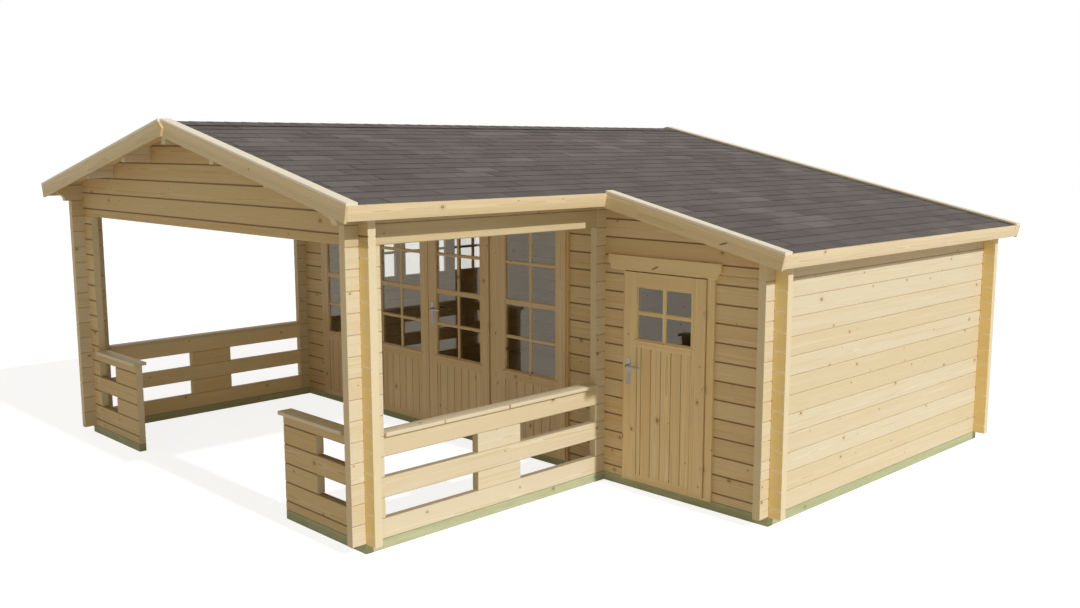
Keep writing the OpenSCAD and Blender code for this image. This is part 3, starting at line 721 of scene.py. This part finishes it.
# ------------------------------
# Front set: a frame with a mullion beside each door, casings lapping the
# logs, and four framed and ledged leaves, two hung and two fixed. Each has
# eight panes above its ledge and upright V-jointed boards below.

LATE_J = (0.58, 0.38, 0.16)
TONES_J = (0.85, 0.67, 0.38), (0.78, 0.58, 0.30), LATE_J
SHOULDER = (0.25, 0.13, 0.05)
STORE_TONES = (0.96, 0.77, 0.42), (0.88, 0.67, 0.34), LATE_J


def joinery(name, middle, stile, rails, seed, tones=TONES_J):
    """Finish of a leaf: stiles run up, and between them rails run across at the given ranges of height.

    A fine dark line shows each shoulder."""
    finish = Finish(name)
    x, y, z = finish
    aside = abs(x) - middle
    inner = abs(aside) < stile
    lying = 0.0
    for low, high in rails:
        lying = lying + (z > low) * (z < high)
    lying = lying * inner
    along = z + (aside - z) * lying
    beside = aside - stile * 1.15
    up = beside + (z - floor(z * 4) * 0.25 - beside) * lying
    member = (aside > 0.0) * (1 - lying) + inner * 2 + (floor(z * 1.3) + 7) * lying
    number = member + (x > 0.0) * 11 + seed
    colour, height = timber(finish, along, up, y, number, tones, knots=0.55)
    shoulder = finish.band(abs(abs(aside) - stile), 0.0014, 0.0002)
    colour = finish.mix(shoulder * 0.55, colour, SHOULDER)
    return finish.shade(colour, 0.5, height)


def framing(name, sill, head, seed, spike=None, tones=TONES_J):
    """Finish of a frame: posts between a sill and a head, which may hold a spike knot at a place along X
    and above its foot."""
    finish = Finish(name)
    x, y, z = finish
    lying = (z < sill) + (z > head)
    along = z + (x - z) * lying
    beside = x - floor(x * 8) * 0.125
    up = beside + (z - head - beside) * lying
    number = lying * 5 + floor(x + 0.5) * (1 - lying) + seed
    colour, height = timber(finish, along, up, y, number, tones, knots=0.4)
    if spike:
        colour = spike_knot(finish, colour, x - spike[0], z - head - spike[1], radians(24))
    return finish.shade(colour, 0.5, height)


leaf_low, leaf_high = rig.box("right_door_leaf")
glass_low, glass_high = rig.box("right_door_glass")
STILE = glass_low.x - leaf_low.x
LEAF_FRONT, LEAF_BACK = leaf_low.y, leaf_high.y
LEDGE_H, KICK_H = 0.081, 0.042
PANEL_SET, PANEL_RISE, PANEL_V = 0.008, 0.0065, 0.004
GLASS_Y = centre_of("right_door_glass").y
LEAF_MID = centre_of("right_door_leaf").x
LEAF_HALF = leaf_high.x - LEAF_MID
ledge = (glass_low.z - LEDGE_H, glass_low.z)
across_rails = [(0.0, leaf_low.z + KICK_H), ledge, (glass_high.z, 9.0)]
dress(joinery("door_leaf_wood", LEAF_MID, LEAF_HALF - STILE, across_rails, 601), "left_door_leaf",
      "right_door_leaf")
light_low, light_high = right_box("side_light_sashes")
light_mid = (light_low[0] + light_high[0]) / 2
dress(joinery("side_light_wood", light_mid, LEAF_HALF - STILE, across_rails, 641), "side_light_sashes")
dress(framing("door_set_wood", leaf_low.z, leaf_high.z, 671), "door_set_frame")


def panel_boards(x0, x1, z0, z1, widths):
    """Upright boards with V joints over a leaf's panel, on both faces. widths share out the breadth."""
    edges = x0 + np.concatenate([[0], np.cumsum(widths)]) * (x1 - x0) / sum(widths)
    low = PANEL_RISE - 1.4 * PANEL_V
    crown = [spot for a, b in zip(edges, edges[1:])
             for spot in ((a, low), (a + PANEL_V, PANEL_RISE), (b - PANEL_V, PANEL_RISE), (b, low))]
    faces = []
    for y, way in ((LEAF_FRONT + PANEL_SET, -1), (LEAF_BACK - PANEL_SET, 1)):
        section = [(x, y + way * t) for x, t in crown] + [(x1, y - way * 0.001), (x0, y - way * 0.001)]
        faces.append(carried(section, [(0, 0, z0), (0, 0, z1)], (1, 0, 0), (0, 1, 0)))
    return faces


def ring(x0, x1, z0, z1, section):
    """A bead carried round an opening with mitred corners: the section is how far in from the edge, and Y."""
    corners = np.array([(x0, 0, z0), (x1, 0, z0), (x1, 0, z1), (x0, 0, z1)])
    inwards = np.array([(1, 0, 1), (-1, 0, 1), (-1, 0, -1), (1, 0, -1)])
    return carried(section, corners, inwards, (0, 1, 0), loop=True)


def glazing_beads(x0, x1, z0, z1):
    """Ovolo beads that hold the glass, front and back: a quarter round from the stile down to the glass."""
    turn = np.linspace(0, pi / 2, 5)
    beads = []
    for face, way in ((LEAF_FRONT, -1), (LEAF_BACK, 1)):
        rise = abs(face - GLASS_Y) - BEAD_SET
        off_glass = BEAD_LOW + (rise - BEAD_LOW) * np.cos(turn)
        quarter = np.stack([BEAD_W * (np.sin(turn) * 0.7 + 0.3), GLASS_Y + way * off_glass], -1)
        foot, head = GLASS_Y + way * 0.002, GLASS_Y + way * rise
        beads.append(ring(x0, x1, z0, z1, [(-0.001, foot), (-0.001, head), *quarter, (BEAD_W, foot)]))
    return beads


BEAD_W, BEAD_SET, BEAD_LOW = 0.006, 0.003, 0.004


def glazing_bar(start, end, width):
    """A moulded bar across the glass: a flat on each face between two hollows that fall to the glass."""
    upright = end[2] > start[2]
    half, flat = width / 2, width / 2 - BAR_HOLLOW
    behind = BAR_SET + 0.0005 * upright
    near, far = LEAF_FRONT + behind, LEAF_BACK - behind
    side = [(flat, near), (flat + 0.002, near + 0.004), (half, GLASS_Y - 0.004), (half, GLASS_Y + 0.004),
            (flat + 0.002, far - 0.004), (flat, far)]
    section = [(-flat, near)] + side + [(-x, y) for x, y in side[:0:-1]]
    return carried(section, [start, end], (1, 0, 0) if upright else (0, 0, 1), (0, 1, 0))


BAR_SET, BAR_HOLLOW = 0.005, 0.006
BAR_W, WIDE_BAR = 0.028, 0.045
BAR_HEIGHTS = [(6.9, BAR_W), (9.06, WIDE_BAR), (11.5, BAR_W)]
PANEL_BOARDS = [40, 96, 96, 96, 96, 96, 60]


def glazed_light(x0, x1, z0, z1, bars, upright=BAR_W):
    """Beads and bars of one pane of glass: bars across at given heights, and one upright in the middle."""
    middle = (x0 + x1) / 2
    return (glazing_beads(x0, x1, z0, z1)
            + [glazing_bar((x0, 0, z), (x1, 0, z), width) for z, width in bars]
            + [glazing_bar((middle, 0, z0), (middle, 0, z1), upright)])


def ledge_mould(x0, x1, z):
    """A small half-round strip along the foot of the glass, which throws water clear of the ledge."""
    turn = np.linspace(-pi / 2, pi / 2, 7)
    section = np.stack([LEAF_FRONT - MOULD_PROUD * np.cos(turn), z + MOULD_H / 2 * np.sin(turn)], -1)
    back = [(LEAF_FRONT + 0.004, z + MOULD_H / 2), (LEAF_FRONT + 0.004, z - MOULD_H / 2)]
    return carried([*section, *back], [(x0, 0, 0), (x1, 0, 0)], (0, 1, 0), (0, 0, 1))


MOULD_PROUD, MOULD_H = 0.009, 0.018
MOULD_PAST, MOULD_DROP = 0.020, 0.012


def leaf_fittings(low, high, foot, ledge_h, widths, bars, upright=BAR_W):
    """What stands on a leaf: round its glass, from corner low to high, and on the panel under its ledge."""
    return (glazed_light(low.x, high.x, low.z, high.z, bars, upright)
            + panel_boards(low.x, high.x, foot, low.z - ledge_h, widths)
            + [ledge_mould(low.x - MOULD_PAST, high.x + MOULD_PAST, low.z - MOULD_DROP)])


leaf_bars = [(BEAM_H + course * COURSE, width) for course, width in BAR_HEIGHTS]
leaf_parts = leaf_fittings(glass_low, glass_high, leaf_low.z + KICK_H, LEDGE_H, PANEL_BOARDS, leaf_bars)


def panel_wood(name, place, first, pitch, breadth, top, seed, tones, knots):
    """Finish of a leaf's boards, which run up to the height top, and of its bars above, which run across but
    for the middle one. place gives the distance in from the panel's edge and the leaf's number."""
    finish = Finish(name)
    x, y, z = finish
    aside, leaf = place(finish)
    count = (aside - first) / pitch
    number = floor(count)
    within = (count - number - 0.5) * pitch
    lying = (z > top + 0.03) * (abs(aside - breadth / 2) > BAR_W / 2 + 0.003)
    along = z + (x - z) * lying
    up = within + (z - within) * lying
    number = number + (floor(z * 5) - number) * lying + leaf + seed
    colour, height = timber(finish, along, up, y, number, tones, knots)
    from_joint = abs(count - floor(count + 0.5)) * pitch
    joint = finish.band(from_joint, 0.0042, 0.0012) * (z < top)
    return finish.shade(finish.mix(joint * 0.7, colour, JOINT), 0.5, height)


def across_leaf(finish):
    """Place in from the outer edge of a front leaf's panel or a side light's, and a number for each."""
    side_light = abs(finish.x) > LEAF_MID + LEAF_HALF
    return (abs(finish.x) - glass_low.x - side_light * (light_mid - LEAF_MID),
            (finish.x > 0.0) * 20 + side_light * 50)


PANEL_W = glass_high.x - glass_low.x
BOARD_SHARE = PANEL_W / sum(PANEL_BOARDS)
JOINT = (0.22, 0.115, 0.04)
DOOR_BOARDS = panel_wood("door_board_wood", across_leaf, PANEL_BOARDS[0] * BOARD_SHARE,
                         PANEL_BOARDS[1] * BOARD_SHARE, PANEL_W, ledge[0], 700, TONES_J, 0.6)
made("left_door_bars_and_boards", mirrored(leaf_parts, False), DOOR_BOARDS, "joinery_wood", body="left_door")
made("right_door_bars_and_boards", leaf_parts, DOOR_BOARDS, "joinery_wood", body="right_door")
side_parts = [repeated(part, [(light_mid - LEAF_MID, 0, 0)]) for part in leaf_parts]
made("side_light_bars_and_boards", mirrored(side_parts), DOOR_BOARDS, "joinery_wood")

# ------------------------------
# Glass: clear float glass held in the rebates by the beads. It mirrors more
# the flatter it is looked along, and dims a little what is behind it.

CAST, SHEEN = (0.93, 0.935, 0.925), (1.0, 0.90, 0.77)
finish = Finish("window_glass")
clear = finish.node("BsdfTransparent", {"Color": CAST})
mirror = finish.node("BsdfGlossy", {"Color": SHEEN, "Roughness": 0.02})
turned_away = finish.node("LayerWeight", {"Blend": 0.5}, out="Facing")
GLASS = finish.close(finish.node("MixShader", [turned_away ** 5 * 0.85 + 0.065, clear, mirror]))
dress(GLASS, "side_light_glass", "left_door_glass", "right_door_glass", "store_door_glass",
      "side_window_glass")

# ------------------------------
# Store door: a single framed and ledged leaf with four panes over upright
# boards, hung in a frame whose moulded head ends in an S curve.

store_low, store_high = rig.box("store_door_leaf")
pane_low, pane_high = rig.box("store_door_glass")
STORE_LEDGE_H = 0.061
store_rails = [(0.0, store_low.z + KICK_H), (pane_low.z - STORE_LEDGE_H, pane_low.z), (pane_high.z, 9.0)]
dress(joinery("store_door_wood", centre_of("store_door_leaf").x, (pane_high.x - pane_low.x) / 2, store_rails,
              743, STORE_TONES), "store_door_leaf")
HEAD_KNOT = (store_low.x + 0.275, 0.042)
dress(framing("store_frame_wood", store_low.z, store_high.z, 761, HEAD_KNOT, STORE_TONES), "store_door_frame")
STORE_BOARDS = [0.040, 0.093, 0.093, 0.093, 0.093, 0.084]
STORE_BAR, STORE_UPRIGHT = (BEAM_H + 9.51 * COURSE, 0.032), 0.034
store_parts = leaf_fittings(pane_low, pane_high, store_low.z + KICK_H, STORE_LEDGE_H, STORE_BOARDS,
                            [STORE_BAR], STORE_UPRIGHT)
STORE_BOARD_WOOD = panel_wood("store_board_wood", lambda f: (f.x - pane_low.x, 0.0), STORE_BOARDS[0],
                              STORE_BOARDS[1], pane_high.x - pane_low.x, store_rails[1][0], 791, STORE_TONES,
                              0.75)
made("store_door_bars_and_boards", store_parts, STORE_BOARD_WOOD, "joinery_wood", body="store_door")

# ------------------------------
# Side window: three fixed sashes of six panes in one frame, with casings
# nailed over the ends of the logs outside and in.

window_low, window_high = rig.box("side_window_frame")
side_glass_low, side_glass_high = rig.box("side_window_glass")
SASH_PITCH = 0.711
WINDOW_POST, WINDOW_RIM = 0.031, 0.040
WINDOW_X = centre_of("side_window_glass").x
CASING_W, CASING_T, CASING_EASE = 0.062, 0.018, 0.004
SASH_BARS = (9.84, 11.93)
SASH_BAR_W = 0.030


def turned(parts, x):
    """Parts made for a wall along X, turned to stand in the left-hand wall: X becomes Y, and Y becomes -X."""
    return [outward(np.stack([x + (points[:, 1] - GLASS_Y), points[:, 0], points[:, 2]], -1), faces)
            for points, faces in parts]


sash_glass_w = side_glass_high.y - side_glass_low.y - 2 * SASH_PITCH
sash_bars = [(BEAM_H + course * COURSE, SASH_BAR_W) for course in SASH_BARS]
sash = glazed_light(side_glass_low.y, side_glass_low.y + sash_glass_w, side_glass_low.z, side_glass_high.z,
                    sash_bars, SASH_BAR_W)
sash_parts = [repeated(part, [(k * SASH_PITCH, 0, 0) for k in range(3)]) for part in sash]


def casing(y0, y1, z0, z1, face, way):
    """Four mitred boards round the window: the section runs outwards from the opening."""
    top, shoulder = face + way * CASING_T, face + way * (CASING_T - CASING_EASE)
    section = [(CASING_EASE, face), (CASING_EASE, shoulder), (0.0, top), (-CASING_W + CASING_EASE, top),
               (-CASING_W, shoulder), (-CASING_W, face)]
    return ring(y0, y1, z0, z1, section)


casings = [casing(window_low.y, window_high.y, window_low.z, window_high.z, GLASS_Y + face - WINDOW_X, way)
           for face, way in ((window_low.x, -1), (window_high.x, 1))]
finish = Finish("side_window_wood")
x, y, z = finish
count = (y - side_glass_low.y - sash_glass_w / 2) / SASH_PITCH
aside = abs(count - floor(count + 0.5)) * SASH_PITCH
middle = centre_of("side_window_frame")
half = window_high - middle
beyond_y, beyond_z = abs(y - middle.y) - half.y, abs(z - middle.z) - half.z
stile = (aside > sash_glass_w / 2) * (beyond_z < -WINDOW_RIM)
post = aside > (SASH_PITCH - WINDOW_POST) / 2
side_casing = (beyond_y > 0.0) * (beyond_y > beyond_z)
lying = (z > side_glass_high.z) + (z < side_glass_low.z)
for course in SASH_BARS:
    lying = lying + (abs(z - BEAM_H - course * COURSE) < SASH_BAR_W / 2) * (aside > SASH_BAR_W / 2)
lying = lying * (1 - stile) * (1 - side_casing)
along = z + (y - z) * lying
up = y + (z - y) * lying
nearest = floor(count + 0.5 - post * 0.5) * (beyond_z < -WINDOW_RIM)
number = nearest + post * (1 - lying) * 40 + (floor(z * 4) + 9) * lying + 820
colour, height = timber(finish, along, up, x, number, TONES_J, knots=0.3)
WINDOW_WOOD = finish.shade(colour, 0.5, height)
dress(WINDOW_WOOD, "side_window_frame", "side_window_sashes")
made("side_window_bars", turned(sash_parts, WINDOW_X), WINDOW_WOOD, "joinery_wood")
made("side_window_casings", turned(casings, WINDOW_X), WINDOW_WOOD, "trim_wood", crease=30)

# ------------------------------
# Handles: brushed nickel levers inside and out on one spindle, on long plates
# with rounded corners, each with a round-headed key cylinder below.


def circle(radius, count=16):
    """A round section: radius times the cosine and sine of equal steps round a turn."""
    angle = np.arange(count) * 2 * pi / count
    return np.stack([radius * np.cos(angle), radius * np.sin(angle)], -1)


def lever(x, z, face, way):
    """A round bar out of the plate, bent through a right angle, and along the door to a domed end.

    A ring is its place along the door and out from it, its heading, and how wide and tall it is."""
    start, end = LEVER_STAND - LEVER_BEND, LEVER_LENGTH - GRIP_R
    rings = [(0.0, 0.0, 0.0, 1.0, 1.0), (0.0, start - 0.004, 0.0, 1.0, 1.0)]
    rings += [(LEVER_BEND * (1 - cos(turn)), start + LEVER_BEND * sin(turn), turn, 1.0, 1.0)
              for turn in np.linspace(0, pi / 2, 7)]
    rings += [(GRIP_START, LEVER_STAND, pi / 2, 0.92, 1.05),
              (end - DOME_L + 0.001, LEVER_STAND, pi / 2, GRIP_WIDE, GRIP_TALL)]
    rings += [(end - 0.006 + DOME_L * sin(turn), LEVER_STAND, pi / 2, GRIP_WIDE * cos(turn * 0.97),
               GRIP_TALL * cos(turn * 0.97)) for turn in np.linspace(0, pi / 2, 5)]
    aside, out, heading, wide, tall = np.transpose(rings)[:, :, None]
    across = (RIGHT * np.cos(heading) - AWAY * way * np.sin(heading)) * wide
    return carried(circle(GRIP_R), (x, face, z) + RIGHT * aside + AWAY * way * out, across, UP * tall)


def pressed(section, x, z, face, way, height):
    """A flat fitting on the door's face with its front edge rounded off."""
    path = [(x, face, z), (x, face + way * (height - FITTING_EASE), z), (x, face + way * height, z)]
    scale = np.array([1.0, 1.0, 1.0 - FITTING_EASE / np.abs(section).max()])[:, None]
    return carried(section, path, RIGHT * scale, UP * scale)


RIGHT, AWAY, UP = np.eye(3)[:, None]
FITTING_EASE = 0.0008
SCREW_RISE, PLATE_SCREW_R = 0.0009, 0.0035
KEY_BULB = circle(0.0085)[:9] + (0, 0.011)
KEY_SHANK = [(-0.005, 0.006), (-0.005, -0.014), (0.0, -0.0165), (0.005, -0.014), (0.005, 0.006)]
KEY_DROP = 0.072        # from the spindle down to the cylinder
ROSE_R, ROSE_T = 0.0125, 0.004


def door_furniture(leaf):
    """Plates, key cylinders and screws on a leaf, and the two levers on its spindle's body."""
    plates, handle = f"{leaf}_door_plates", f"{leaf}_door_lever"
    plate, z = centre_of(plates), centre_of(handle).z
    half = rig.box(plates)[1] - plate
    key = np.concatenate([KEY_BULB, KEY_SHANK])
    fittings, levers = [], []
    for face, way in ((LEAF_FRONT, -1), (LEAF_BACK, 1)):
        front = face + way * PLATE_T
        fittings += [pressed(eased(half.x, half.z, 0.008, 6), plate.x, plate.z, face, way, PLATE_T),
                     pressed(circle(ROSE_R, 24), plate.x, z, front, way, ROSE_T),
                     pressed(key, plate.x, z - KEY_DROP, front, way, 0.003)]
        fittings += [pressed(circle(PLATE_SCREW_R, 10), plate.x, plate.z + side * (half.z - 0.012), front,
                             way, SCREW_RISE) for side in (-1, 1)]
        levers.append(lever(plate.x, z, front, way))
    made(plates, fittings, NICKEL, "handle_metal", plates, body=f"{leaf}_door", crease=35)
    made(f"{handle}s", levers, NICKEL, "handle_metal", handle, body=f"{leaf}_handle", crease=50)


DULL_NICKEL, BRIGHT_NICKEL = (0.33, 0.31, 0.34), (0.43, 0.41, 0.42)
PLATE_T = 0.003
GRIP_R, GRIP_START = 0.007, 0.045
GRIP_WIDE, GRIP_TALL = 0.88, 1.12
LEVER_BEND, DOME_L = 0.016, 0.013
LEVER_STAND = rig.box("right_door_lever")[1].y - LEAF_BACK - GRIP_R - PLATE_T
LEVER_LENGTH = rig.box("right_door_lever")[1].x - centre_of("right_door_plates").x
finish = Finish("satin_nickel")
brush, worn = finish.specks(2600, 2600, 60), finish.specks(30, 30, 30, 3.0)
colour = finish.mix(finish.band(worn, 0.3, 0.75), DULL_NICKEL, BRIGHT_NICKEL)
NICKEL = finish.shade(colour, 0.28 + brush * 0.16 + worn * 0.08, brush, 0.00004, Metallic=1.0)
door_furniture("right")
door_furniture("store")

# ------------------------------
# Hinges: blotched yellow zinc. The upper knuckle and its flap are screwed to
# the leaf, and the lower knuckle stands on the frame and holds the pin.


def knuckle(x, y, z0, z1, radius):
    """A turned barrel with rounded ends: the section is its radius at each height, carried round the pin."""
    lip = radius * 0.3
    turn = np.linspace(0, pi / 2, 4)
    radii = np.concatenate([radius - lip + lip * np.sin(turn), radius - lip + lip * np.cos(turn)])
    heights = np.concatenate([z0 + lip - lip * np.cos(turn), z1 - lip + lip * np.sin(turn)])
    path, scale = [(x, y, height) for height in heights], (radii / radius)[:, None]
    return carried(circle(radius, 20), path, RIGHT * scale, AWAY * scale)


def hinge_set(leaf, side):
    """Rebuilds a leaf's hinges from the places of their barrels."""
    hinge_low, hinge_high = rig.box(f"{leaf}_door_hinges")
    corners = frame["nodes"][f"{leaf}_door_hinges"].data.vertices
    heights = np.unique(np.round([corner.co.z for corner in corners], 4)).reshape(-1, 2)
    flap_x, edge = (hinge_low.x, hinge_high.x)[::side]
    x, y, flap_front = edge - side * BARREL_R, hinge_low.y + BARREL_R, LEAF_FRONT - FLAP_T
    on_leaf, on_frame = [], []
    for z0, z1 in heights:
        middle = (z0 + z1) / 2 + 0.004
        flap, arm = sorted((flap_x, x - side * 0.002)), sorted((x, x + side * ARM_L))
        on_leaf += [knuckle(x, y, middle, z1, BARREL_R),
                    board((flap[0], flap_front, middle), (flap[1], LEAF_FRONT, z1), HINGE_EASE, "z")]
        on_frame += [knuckle(x, y, z0, middle - 0.0008, BARREL_R),
                     board((arm[0], y, z0 + 0.003), (arm[0] + 0.004, CASING_FRONT, middle - 0.003),
                           HINGE_EASE, "z")]
        on_leaf += [pressed(circle(HINGE_SCREW_R, 10), flap_x + side * 0.006, height, flap_front, -1,
                            SCREW_RISE) for height in (middle + 0.007, z1 - 0.007)]
    made(f"{leaf}_door_hinge_leaves", on_leaf, ZINC, "hinge_metal", f"{leaf}_door_hinges",
         body=f"{leaf}_door", crease=40)
    made(f"{leaf}_door_hinge_pins", on_frame, ZINC, "hinge_metal", crease=40)


DULL_ZINC, BRIGHT_ZINC = (0.58, 0.45, 0.24), (0.68, 0.54, 0.31)
BARREL_R = 0.006
FLAP_T, ARM_L, HINGE_SCREW_R, HINGE_EASE = 0.002, 0.020, 0.0028, 0.0009
CASING_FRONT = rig.box("door_set_frame")[0].y
finish = Finish("zinc_plate")
blotch = finish.specks(180, 180, 180, 4.0, 0.7)
colour = finish.mix(finish.band(blotch, 0.3, 0.7), DULL_ZINC, BRIGHT_ZINC)
ZINC = finish.shade(colour, 0.5 + blotch * 0.2, blotch, 0.00005, Metallic=0.35)
hinge_set("right", 1)
hinge_set("left", -1)
hinge_set("store", 1)

# ------------------------------
# Stage: a matt floor that shows white outside the walls and keeps a light
# shadow, a white sky, and low sun square on to the right-hand side. The view
# is from in front of the store's corner.


def seen_directly(finish):
    """1 for what is seen by eye, in a mirror or through glass, 0 for what lights the cabin."""
    path = finish.node("LightPath", out="Is Camera Ray")
    glossy, through = path.output("Is Glossy Ray"), path.output("Is Transmission Ray")
    return finish.node("Math", [path + glossy + through, 1.0], operation="MINIMUM")


SKY, SKY_LIGHT = (1.0, 0.888, 0.685), 0.31
SUN_LIGHT, SUN_HEIGHT = 2.35, radians(33.5)
FLOOR = (0.76, 0.75, 0.73)
SHOWN_FLOOR = (0.34, 0.35, 0.37)
FLOOR_LIFT = 0.84
FLOOR_HALF = 60.0


def placed(name, data):
    """An object in the scene that holds a mesh, a light or a camera."""
    thing = bpy.data.objects.new(name, data)
    bpy.context.scene.collection.objects.link(thing)
    return thing


ground = bpy.data.meshes.new("floor")
ground.from_pydata([(x * FLOOR_HALF, y * FLOOR_HALF, 0.0) for x, y in ((-1, -1), (1, -1), (1, 1), (-1, 1))],
                   [], [(0, 1, 2, 3)])
finish = Finish("floor")
x, y, _ = finish
matt = finish.node("BsdfDiffuse", {"Color": FLOOR})
shown = finish.node("AddShader", [finish.node("BsdfDiffuse", {"Color": SHOWN_FLOOR}),
                                  finish.node("Emission", {"Strength": FLOOR_LIFT})])
indoors = (x > -PAST_SIDE) * (x < PAST_STORE) * (y > 0.0) * (y < REAR_MID)
ground.materials.append(
    finish.close(finish.node("MixShader", [seen_directly(finish) * (1 - indoors), matt, shown])))
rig.stage(placed("floor", ground))

finish = Finish("sky", bpy.data.worlds.new("sky"))
light = finish.node("Background", [SKY, SKY_LIGHT])
white = finish.node("Background", [(1.0, 1.0, 1.0), 1.0])
finish.node("OutputWorld", [finish.node("MixShader", [seen_directly(finish), light, white])])
bpy.context.scene.world = finish.material
sun = bpy.data.lights.new("sun", "SUN")
sun.energy, sun.angle = SUN_LIGHT, radians(1.5)
placed("sun", sun).rotation_euler = (0, pi / 2 - SUN_HEIGHT, 0)

lens = bpy.data.cameras.new("view")
lens.lens, lens.sensor_width = 36.21, 36.0
view = placed("view", lens)
view.location = (7.5736, -6.0821, 2.5728)
view.rotation_euler = (radians(81.625), radians(0.055), radians(45.58))
bpy.context.scene.camera = view
bpy.context.scene.view_settings.view_transform = "Standard"

json.dump({"cad": [list(corner) for corner in cad_box], "visual": [list(corner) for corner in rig.bounds()]},
          open("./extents.json", "w"))
